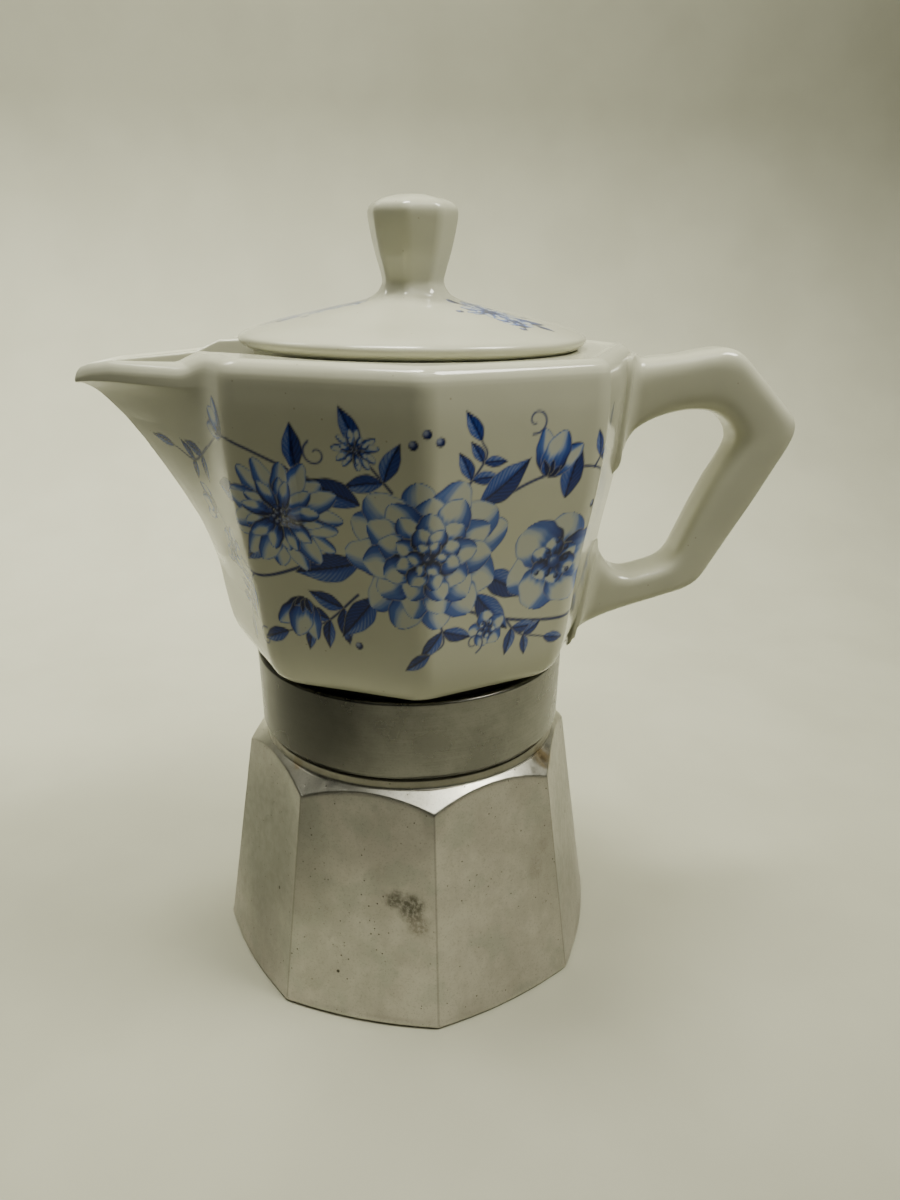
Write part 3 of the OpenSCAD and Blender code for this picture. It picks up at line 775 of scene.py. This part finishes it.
def boiler_directions():
    """Directions of the points, dense at the eight corners with their small rounding."""
    beside = np.concatenate([[0.12, 0.24, 0.36, 0.5, 0.9, 1.6, 3.0], np.arange(4.5, 22, 1.5)])
    offsets = np.concatenate([-beside[::-1], [0], beside, [FACET / 2]])
    return np.concatenate([FACET * k + offsets for k in range(8)])


def boiler_mesh():
    """The casting from the middle of its base, up its facets, over its neck and down inside."""
    a = boiler_directions()
    shape = octagon(BASE_R, a, BOILER_CORNER) / BASE_R
    from_middle = 1 - off_corner(a) / (FACET / 2)
    swell = FACET_SWELL * (1 - from_middle**2)
    fall = (BASE_R - SHOULDER_R) / SHOULDER_Z
    crease = SHOULDER_R + SHOULDER_Z / SHOULDER_SLOPE - BASE_R * shape
    crease = crease / (1 / SHOULDER_SLOPE - fall * shape)
    shoulder_top = SHOULDER_Z + (SHOULDER_R - BAND_R) * SHOULDER_SLOPE
    edge, bevel, cut_depth, chamfer, run_in = 1.0, 0.3, 0.08, 0.7, 1.4
    at_corner = from_middle > 0.985
    rows, cuts = [], []

    def row(r, z, cut):
        """Adds a row; cut is 0 on the rough casting and 1 where it is machined."""
        rows.append(polar(r, a + BOILER_TURN, z))
        cuts.append(cut)

    def wall(z):
        return (BASE_R - fall * z) * shape + swell * np.maximum(0, 1 - z / SHOULDER_Z) ** 2

    def cone(z):
        return SHOULDER_R + (SHOULDER_Z - z) / SHOULDER_SLOPE

    for share in np.linspace(0.05, 0.96, 12):
        row(wall(0) * share, 0.0, 0.6)
    for t in np.radians(np.linspace(0, 90, 7)):
        row(wall(0) - edge * (1 - math.sin(t)), edge * (1 - math.cos(t)), 0.3)
    for share in np.linspace(0.03, 1, 56)[:-1]:
        z = share * (crease - bevel)
        row(wall(z), z, 0.0)
    for t in np.linspace(0, 1, 4):
        z = crease - bevel * (1 - t)
        row(np.minimum(wall(z), cone(z)) - cut_depth * t, z, t)
    for share in np.linspace(0, 1, 16)[1:]:
        z = crease + (shoulder_top - bevel - crease) * share
        row(cone(z) - cut_depth, z, 1.0)
    foot_r = NECK_R - THREAD_DEPTH
    band = filleted([
        (30, 50, 0), (BAND_R + 1, shoulder_top - 1.2, 0), (BAND_R, shoulder_top, 0.9),
        (BAND_R, BAND_TOP, 0.5), (foot_r, BAND_TOP, 0.5), (foot_r, 65, 0),
    ])
    for r, z in band[2:-1]:
        row(r, z, 1.0)
    thread_from = BAND_TOP + 0.8
    for z in np.arange(thread_from, NECK_TOP - chamfer, 0.25):
        turn = (z / THREAD_PITCH - (a + BOILER_TURN) / 360) % 1
        crest = ease(1.6 - 2.6 * np.abs(turn - 0.5) * 2)
        row(foot_r + THREAD_DEPTH * crest * ease((z - thread_from) / run_in), z, 1.0)
    inside = filleted([
        (foot_r, NECK_TOP - chamfer, 0), (NECK_R - 1.4, NECK_TOP, 0.3), (NECK_BORE_R, NECK_TOP, 0.5),
        (NECK_BORE_R, 57, 3), (32.2, 53, 6), (34.9, 46, 5), (41, 8.5, 4), (36.5, 3.5, 4), (0.5, 3.5, 0),
        (0.5, 60, 0),
    ])
    for r, z in inside[:-1]:
        row(r, z, 0.5)
    mesh = grid_mesh(np.array(rows), closed=False)
    store(mesh, "machined", np.repeat(cuts, len(a)))
    # This mask carries painted shade: a thin dark line along each facet corner
    store(mesh, "corner", np.outer(np.equal(cuts, 0), at_corner).ravel())
    return mesh


def boss_mesh():
    """The round boss that carries the valve, with a fillet onto its facet and a cut face."""
    root_r, sides = BOSS_R + 1.6, 96
    outline = filleted([
        (BOSS_BORE_R, BOSS_ROOT, 0), (BOSS_BORE_R, 0, 0.3), (BOSS_R, 0, 0.7), (BOSS_R, -1.2, 1.4),
        (root_r, BOSS_ROOT + 0.8, 0), (root_r, BOSS_ROOT, 0),
    ])
    mesh = grid_mesh(turned(outline, sides))
    mesh.transform(valve_frame() @ Matrix.Rotation(math.pi / 2, 4, "Y"))
    on_face = (outline[:, 1] > -0.05) & (outline[:, 0] < BOSS_R)
    store(mesh, "machined", np.repeat(on_face, sides))
    store(mesh, "corner", np.zeros(0))
    return mesh


piece("boiler_casting", boiler_mesh(), "boiler", "boiler_aluminium", "boiler")
piece("valve_boss", boss_mesh(), "boiler", "boiler_aluminium")


# ---- collar and seals


def collar_mesh():
    """The ring that screws onto the neck, with its dished web and its spigot."""
    bore, lip_r, dish = NECK_R + 0.05, COLLAR_R - 1.4, COLLAR_TOP - 0.8
    outline = filleted([
        (bore, COLLAR_Z, 0.5), (COLLAR_R - 0.5, COLLAR_Z, 0.6), (COLLAR_R + 0.02, COLLAR_Z + 1.1, 0.7),
        (COLLAR_R + 0.4, COLLAR_TOP, 0.5), (lip_r, COLLAR_TOP, 0.3), (lip_r, dish, 0.1),
        (SPIGOT_R, dish, 0.4), (SPIGOT_R, SPIGOT_TOP, 0.5), (COLUMN_R, SPIGOT_TOP, 0.4),
        (COLUMN_R, WEB_Z + 1.1, 0.5), (27, WEB_Z, 0.4), (28.5, WEB_Z, 0.2), (28.5, STEP_Z, 0.1),
        (GASKET_R, STEP_Z, 0.2), (GASKET_R, GASKET_Z, 0.1), (bore, GASKET_Z, 0.1),
    ])
    return grid_mesh(turned(outline, 360))


def lower_seal_mesh():
    """The flat black ring between collar and porcelain, swollen where it is squeezed out."""
    low, bore, rim, middle = COLLAR_TOP - 0.8, 26, 35.3, 78.3
    outline = filleted([
        (bore, low, 0.3), (rim, low, 0.2), (rim + 0.15, middle, 0.5), (rim, JUG_Z, 0.2),
        (bore, JUG_Z, 0.3),
    ])
    return grid_mesh(turned(outline))


piece("collar_ring", collar_mesh(), "jug", "collar_aluminium", "collar")
piece("lower_seal_ring", lower_seal_mesh(), "jug", "black_rubber", "lower_seal")


# ---- jug


# Wall from the foot to under the rim, as corner radius and height
JUG_WALL = curve([
    (36.4, 79.1), (38.2, 79.5), (40.1, 80.8), (41.6, 82.6), (43.1, 86.6), (44.4, 94), (45.6, 103),
    (46.8, 110), (48.4, 118), (49.8, 126), (50.6, 134), (50.93, 140), (50.85, 144), (50.75, 145.6),
], 0.32)
# Front line of the spout as height and radius, and the fall of its rim with the radius
SPOUT_KEEL = np.array([
    (94, 41.4), (102, 44.6), (106, 46.4), (110, 48.4), (116, 51.8), (122, 55.4),
    (128, 59.2), (133, 62.8), (137, 66.4), (140, 69.6), (143, 72.9),
])
SPOUT_RIM = np.array([(46, 0), (50, 2.4), (57, 2.9), (64, 3.3), (69, 4.3), (73, 5.8)])

# Rolled rim from the wall over to the lid's seat, as distance in from the wall and height
RIM_ROLL = curve([
    (0, 145.6), (0.2, 146.6), (0.75, 147.7), (1.6, 148.45), (2.6, 148.85), (3.4, 148.9),
    (4.0, 148.75), (4.7, 148.5), (5.4, 148.41),
], 0.25)


def spout_r(a, z, corner_r, half_angle):
    """Radius of the spout's side walls, which run from the body to the keel."""
    widest, slant = 60, 0.12
    off = np.abs(a - 180)
    c, s = compass(off)
    share = np.clip((z - SPOUT_FOOT_Z) / (SPOUT_KEEL[-1, 0] - SPOUT_FOOT_Z), 0, 1)
    spread = half_angle * share**0.7
    tip = np.interp(z, SPOUT_KEEL[:, 0], SPOUT_KEEL[:, 1])
    root = octagon(corner_r, 180 + spread, CORNER_ROUND)
    root_c, root_s = compass(spread)
    slope = root * root_s * c + (tip - root * root_c) * s
    wall = root * root_s * tip / np.maximum(slope, 1e-6)
    return np.where(off > widest, 0, np.minimum(wall, tip - slant * off))


def outside_r(a, z, corner_r):
    """Radius of the jug's outside, with the sides of the spout blended in."""
    side, fade, rise = 38, 18, 14
    keel_z = SPOUT_KEEL[0, 0]
    wall = octagon(corner_r, a, CORNER_ROUND)
    beside = 1 - ease((np.abs(a - 180) - side) / fade)
    blend = SPOUT_BLEND * ease((z - keel_z) / rise) * beside
    spout = spout_r(a, z, corner_r, SPOUT_SPREAD)
    return np.where(z < keel_z, wall, soft_max(wall, spout, np.maximum(blend, 1e-3)))


def wall_corner_r(z):
    """Radius of the jug's corners at a height."""
    return np.interp(z, JUG_WALL[:, 1], JUG_WALL[:, 0])


def rim_drop(a, r, z):
    """Fall of the rim along the spout; it fades out below the rim and beside the spout."""
    side, fade = 24, 12
    across = 1 - ease((np.abs(a - 180) - side) / fade)
    down = ease((z - TURN_IN_Z) / (RIM_Z - TURN_IN_Z))
    return np.interp(r, SPOUT_RIM[:, 0], SPOUT_RIM[:, 1]) * across * down


def inside_r(a, z):
    """Radius of the cavity, which turns in under the rim to the round mouth."""
    corner_r = wall_corner_r(np.minimum(z, TURN_IN_Z))
    body = octagon(corner_r, a, CORNER_ROUND) - WALL
    trough_wall, foot_round, foot_height = 1.15 * WALL, 8, 6
    trough = spout_r(a, np.minimum(z, TROUGH_TOP), corner_r, TROUGH_SPREAD) - trough_wall
    turn = ease((z - TURN_IN_Z) / (RIM_Z - SHELF - TURN_IN_Z))
    foot = foot_round * (1 - np.clip((z - FLOOR_TOP) / foot_height, 0, 1)) ** 2
    closed = body - foot + (MOUTH_R - body) * turn
    open_r = soft_max(closed, trough, SPOUT_BLEND * (1 - turn) + 0.5)
    return np.where(z < SPOUT_KEEL[0, 0], closed, open_r)


def jug_directions():
    """Directions of the points, dense where the flowers are and at the spout's tip."""
    steps = (
        (0, 20, 1), (20, 150, 0.62), (150, 172, 0.5), (172, 188, 0.2), (188, 200, 0.4),
        (200, 345, 0.3), (345, 360, 1),
    )
    return np.concatenate([np.arange(*s) for s in steps])


def jug_grid():
    """Rows of the jug's skin, from the hole in its floor round its foot, wall and rim and back."""
    a = jug_directions()
    hole_edge, lip, mouth_z, trough_foot, squeeze = 0.3, 0.7, 147, 92, 0.11
    round_r, fade = 12, 18
    rows = []

    def row(r, z):
        """Adds a row, lowered along the spout."""
        rows.append(polar(r, a, z - rim_drop(a, r, z)))

    for r in np.linspace(FLOOR_HOLE_R + hole_edge, JUG_WALL[0, 0] - 0.5, 18):
        angular = ease((r - round_r) / fade)
        row((1 - angular) * r + angular * octagon(r, a, CORNER_ROUND), JUG_Z + 0.02)
    first_wall = len(rows)
    for corner_r, z in JUG_WALL:
        row(outside_r(a, z, corner_r), z)
    last_wall = len(rows)
    outer = outside_r(a, JUG_WALL[-1, 1], JUG_WALL[-1, 0])
    inner = inside_r(a, mouth_z + 0.5)
    narrow = np.minimum(1, squeeze * (outer - inner))
    for offset, z in RIM_ROLL[1:]:
        row(outer - offset * narrow, z)
    shelf = outer - RIM_ROLL[-1, 0] * narrow
    for share in np.linspace(0, 1, 9)[1:]:
        row(shelf + (inner + lip - shelf) * share, SEAT_Z)
    for t in np.radians(np.linspace(15, 90, 5)):
        row(inner + lip * (1 - math.sin(t)), SEAT_Z - lip * (1 - math.cos(t)))
    stops = ((mouth_z, 136, 0.6), (136, trough_foot, 1.5), (trough_foot, FLOOR_TOP + 0.3, 0.6))
    for start, stop, step in stops:
        for z in np.arange(start, stop, -step):
            row(inside_r(a, z), z)
    low = inside_r(a, FLOOR_TOP + 0.01)
    for share in np.linspace(0.02, 1, 14):
        row(low + (FLOOR_HOLE_R + hole_edge - low) * share, FLOOR_TOP)
    for z in (FLOOR_TOP - hole_edge, 81.5, JUG_Z + hole_edge):
        row(FLOOR_HOLE_R, z)
    return a, np.array(rows), first_wall, last_wall


def unrolled(a):
    """Way round the jug at its mean size, 0 at the corner nearest the camera."""
    facet = np.floor((a + 90) / FACET)
    middle = FACET * (facet + 0.5) - 90
    side = 2 * PAINTED_APOTHEM * math.tan(HALF_FACET)
    return side * (facet + 0.5) + PAINTED_APOTHEM * np.tan(np.radians(a - middle))


def jug_mesh():
    """The thrown body with its spout; the same spray is painted on both sides."""
    seam = 20
    a, grid, first, last = jug_grid()
    mesh = grid_mesh(grid)
    paint = np.zeros((*grid.shape[:2], 4))
    height = grid[first:last, :, 2].mean(1) - SPRAY_HEIGHT
    for away, keep in ((360, a > 180), (180, (a > seam) & (a <= 180))):
        u, v = np.meshgrid(unrolled(a[keep] - away), height)
        painting = Painting(u.ravel(), v.ravel())
        flower_spray(painting)
        paint[first:last, keep] = painting.paint.reshape(*u.shape, 4)
    store(mesh, "paint", paint.reshape(-1, 4))
    return mesh


piece("jug_porcelain", jug_mesh(), "jug", "glazed_porcelain", "jug")


# ---- handle


# Outer and inner line of the handle, each as distance from the axis and height
HANDLE = curve([
    (44, 146.2, 43, 119), (49.5, 145.8, 47.8, 124), (53.5, 145.9, 50.2, 128), (58, 146.4, 53.8, 131),
    (63, 147, 58.6, 133.1), (68, 147.9, 64, 134.2), (72.6, 148.3, 69, 134.1),
    (76.2, 147, 72.2, 132.9), (81, 142.4, 74.5, 131), (86, 137.3, 75.8, 129),
    (89.6, 133.4, 76.2, 127.6), (90.8, 130.4, 76.2, 126.2), (90, 126.8, 75.6, 124.4),
    (86.8, 120.6, 74.2, 121.6), (82.4, 112.4, 71.7, 117), (77.6, 104.2, 68.6, 110),
    (73.8, 97.6, 66, 103.6), (71, 93.2, 64.3, 99.8), (67.6, 90.8, 61.8, 97.4),
    (61.5, 88.8, 57.4, 95.8), (54.5, 86.7, 53, 95), (48.5, 84.6, 49.4, 96.2),
    (43.5, 82.2, 46.4, 99), (38.4, 79.7, 41, 101.8),
], 0.6)


def body_face(y, corner_r):
    """Distance in x of the jug's wall beside the corner at +X."""
    sine, cosine = math.sin(HALF_FACET), math.cos(HALF_FACET)
    centre = corner_r - CORNER_ROUND
    y = np.abs(y)
    arc = centre + np.sqrt(np.maximum(CORNER_ROUND**2 - y**2, 0))
    flat = (centre * cosine + CORNER_ROUND - y * sine) / cosine
    return np.where(y < CORNER_ROUND * sine, arc, flat)


def handle_mesh():
    """A bar with flat sides and soft edges, swept along its lines, with a fillet onto the wall."""
    c, s = compass(np.arange(0, 360, 5))
    across = np.sign(c) * np.abs(c) ** HANDLE_SQUARE
    aside = np.sign(s) * np.abs(s) ** HANDLE_SQUARE
    wall_top = 145
    rows = []
    for outer_x, outer_z, inner_x, inner_z in HANDLE:
        half_x, half_z = (outer_x - inner_x) / 2, (outer_z - inner_z) / 2
        x = inner_x + half_x + across * half_x
        y = aside * HANDLE_W / 2
        z = inner_z + half_z + across * half_z
        clear = x - body_face(y, wall_corner_r(np.minimum(z, wall_top)))
        short = np.clip(HANDLE_FILLET - clear, 0, HANDLE_FILLET)
        spread = HANDLE_FILLET - np.sqrt(HANDLE_FILLET**2 - short**2)
        grow = across * spread / math.hypot(half_x, half_z)
        z = np.minimum(z + grow * half_z, np.maximum(z, HANDLE_ROOT_TOP))
        x = np.minimum(x + grow * half_x, HANDLE_REACH)
        rows.append(np.stack([x, y + aside * spread, np.minimum(z, HANDLE_TOP)], -1))
    mesh = grid_mesh(np.array(rows), closed=False)
    store(mesh, "paint", np.zeros((0, 4)))
    return mesh


piece("jug_handle", handle_mesh(), "jug", "glazed_porcelain")


# ---- lid


# Underside from the middle out: the dome, the flange that drops into the mouth, and the seat
LID_UNDER = filleted([
    (0.3, 155, 0), (12, 153.6, 6), (20, 152.2, 6), (28, 150.4, 6), (32.4, 148.9, 1.5),
    (32.4, FLANGE_Z, 0.8), (FLANGE_R, FLANGE_Z, 1.0), (FLANGE_R, SEAT_Z, 0.4), (36.2, SEAT_Z, 0.5),
    (36.9, 148.85, 0), (38, 170, 0),
])[:-1]
# Edge, dome and knob
LID_OVER = curve([
    (36.9, 148.85), (37.6, 149.35), (38.05, 150.1), (37.9, 150.85), (36.9, 151.55), (34.5, 152.45),
    (31, 153.45), (26.5, 154.5), (21, 155.75), (16, 156.85), (12.5, 157.6), (10, 158.3),
    (8.2, 159.3), (7.2, 160.6), (6.8, 162), (7.3, 164.3), (8.15, 167.2), (8.95, 170.5),
    (9.45, 173), (9.75, 175), (9.65, 176.2), (9.05, 177.2), (7.3, 178.15), (4.5, 178.9),
    (2.2, 179.25), (0.3, 179.35),
], 0.4)


def lid_mesh():
    """The lid from the middle of its underside, round its flange and edge and up to the knob."""
    a = np.arange(0, 360, 0.5)
    fade, corner_round, soft = 3.5, 3.2, 0.45
    rows = [polar(r, a, z) for r, z in LID_UNDER]
    for r, z in LID_OVER:
        angular = ease((KNOB_FOOT_R - r) / fade) if z < KNOB_WAIST_Z else 1.0
        knob = octagon(r, a - KNOB_TURN, min(soft * r, corner_round)) if r > 1 else r
        rows.append(polar((1 - angular) * r + angular * knob, a, z))
    grid = np.array(rows)
    mesh = grid_mesh(grid, closed=False)
    x, y, z = grid.reshape(-1, 3).T
    painting = Painting(x, y)
    lid_spray(painting, SPRAY_RIGHT)
    lid_spray(painting, SPRAY_LEFT)
    painting.paint[: len(LID_UNDER) * len(a)] = 0
    painting.paint[z >= LID_PAINT_TOP, 3] = 0
    store(mesh, "paint", painting.paint)
    mesh.transform(Matrix.Translation((LID_SHIFT * MM, 0, 0)))
    return mesh


piece("lid_porcelain", lid_mesh(), "lid", "glazed_porcelain", "lid")


# ---- inner parts


def spring_mesh():
    """The valve's coil, from the pin's head to the retainer along the valve's axis."""
    steps = 40 * SPRING_TURNS
    c, s = compass(np.linspace(0, 360 * SPRING_TURNS, steps)[:, None])
    round_c, round_s = compass(np.arange(0, 360, 30)[None])
    reach = SPRING_R + SPRING_WIRE / 2 * round_c
    x = np.linspace(SPRING_FROM, SPRING_TO, steps)[:, None] + SPRING_WIRE / 2 * round_s
    mesh = grid_mesh(np.stack([x, reach * c, reach * s], -1), closed=False)
    mesh.transform(valve_frame())
    return mesh


def add_spring():
    """Adds the valve's coil, which rides on the boiler in place of the part's spring."""
    coil = piece("valve_coil", spring_mesh(), "boiler", "valve_steel", "valve_spring")
    direction = (*compass(VALVE_DIR), 0)
    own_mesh(coil)


def finish_nodes():
    """Gives the pieces shown as they are in the part their metal or rubber."""
    for slot, names in (
        ("copper_washer", ("valve_washer",)),
        ("valve_brass", ("valve_body", "valve_retainer")),
        ("valve_steel", ("valve_pin",)),
        ("black_rubber", ("valve_seal", "upper_seal")),
        ("sheet_aluminium", ("funnel_basket", "funnel_tube", "funnel_screen", "filter_plate")),
        ("sheet_aluminium", ("clamp_washer",)),
        ("pale_rubber", ("gasket",)),
        ("column_aluminium", ("column", "column_cap")),
    ):
        for name in names:
            node = frame["nodes"][name]
            node.data.materials.clear()
            node.data.materials.append(MATERIALS[slot])


add_spring()
finish_nodes()


# ---- floor, light and camera


def stage_material():
    """Pale matt paper; in front and to the left, out of view, it is painted grey as shade, so that it
    throws less light back onto the pot.
    """
    s = Shader("stage_paper", Specular_IOR_Level=0.2)
    pale = s.mix(s.ramp(s.noise(60, 3), 0.3, 0.7), (0.36, 0.355, 0.275), (0.39, 0.385, 0.30))
    x, y, z = s.axes()
    forward = s.plus(y, s.times(x, 0.5))
    rightward = s.plus(s.plus(x, s.times(y, 0.38)), s.times(z, 0.25))
    grey_until, pale_behind, pale_beside = -0.24, -0.115, -0.1
    lit = s.ramp(forward, grey_until, pale_behind)
    lit = s.times(lit, s.ramp(rightward, grey_until, pale_beside))
    # Painted shade: grey paper in front and to the left of the pot
    s.set(Base_Color=s.mix(lit, (0.13, 0.13, 0.11), pale))
    s.set(Roughness=s.ramp(s.noise(20, 2), 0.3, 0.7, 0.8, 0.9))
    s.set(Normal=s.bump(s.noise(1.6, 3), 0.05, 0.3))
    return s.material


def stage():
    """A floor that curves up into a backdrop."""
    reach, back, sweep, top = 5000, 420, 260, 4000
    corners = [(-reach, 0, 0), (back, 0, sweep), (back, top, 0), (back + 1, top, 0)]
    outline = filleted(corners, 28)[:-1]
    points = np.array([(x, y, z) for y, z in outline for x in (-reach, reach)])
    quads = [(i, i + 1, i + 3, i + 2) for i in range(0, 2 * len(outline) - 2, 2)]
    floor = add_object("floor", mesh_of(points, quads))
    floor.data.materials.append(stage_material())


def add_light(name, kind, power, colour):
    """Object that holds a new lamp."""
    lamp = bpy.data.lights.new(name, kind)
    lamp.energy = power
    lamp.color = colour
    return add_object(name, lamp)


def area_light(name, place, aim, size, spread, power, colour):
    """A soft square light aimed at a point, whose beam fans out over spread degrees."""
    light = add_light(name, "AREA", power, colour)
    light.data.size = size
    light.data.spread = math.radians(spread)
    light.location = place
    light.rotation_euler = (Vector(aim) - light.location).to_track_quat("-Z", "Y").to_euler()


def lights():
    """A key from the right, one for the backdrop, cards in front and behind, and an even sun overhead."""
    pot, wall = (0, 0, 0.09), (-0.2, 0.44, 0.5)
    area_light("key", (0.52, -0.13, 0.98), pot, 0.34, 60, 1.35, (1.0, 0.99, 0.86))
    area_light("backdrop", (-0.2, 0.18, 1.3), wall, 0.5, 76, 10.5, (1.0, 1.0, 0.88))
    area_light("front_card", (0.08, -0.42, 1.0), pot, 0.5, 120, 0.66, (1.0, 1.0, 0.9))
    area_light("left_card", (-0.55, 0.44, 0.78), pot, 0.3, 30, 0.15, (1.0, 0.98, 0.82))
    overhead = add_light("sun", "SUN", 0.68, (1.0, 1.0, 0.87))
    overhead.data.angle = math.radians(50)


def world(colour=(0.80, 0.80, 0.70, 1), strength=0.035):
    """Weak even light from the room."""
    room = bpy.data.worlds.new("room")
    room.use_nodes = True
    sockets = room.node_tree.nodes["Background"].inputs
    sockets["Color"].default_value = colour
    sockets["Strength"].default_value = strength
    bpy.context.scene.world = room


def camera():
    """At the photograph's viewing angle: close, a little right of the pot's front and looking down."""
    place, heading, pitch, roll = (-0.0109, -0.2079, 0.1656), 84.3, 20.49, 0.63
    data = bpy.data.cameras.new("camera")
    data.lens = 27.03
    data.clip_start = 0.01
    view = Matrix.Translation(place)
    for angle, axis in ((heading - 90, "Z"), (90 - pitch, "X"), (roll, "Z")):
        view = view @ Matrix.Rotation(math.radians(angle), 4, axis)
    obj = add_object("camera", data)
    obj.matrix_world = view
    bpy.context.scene.camera = obj


stage()
lights()
world()
camera()
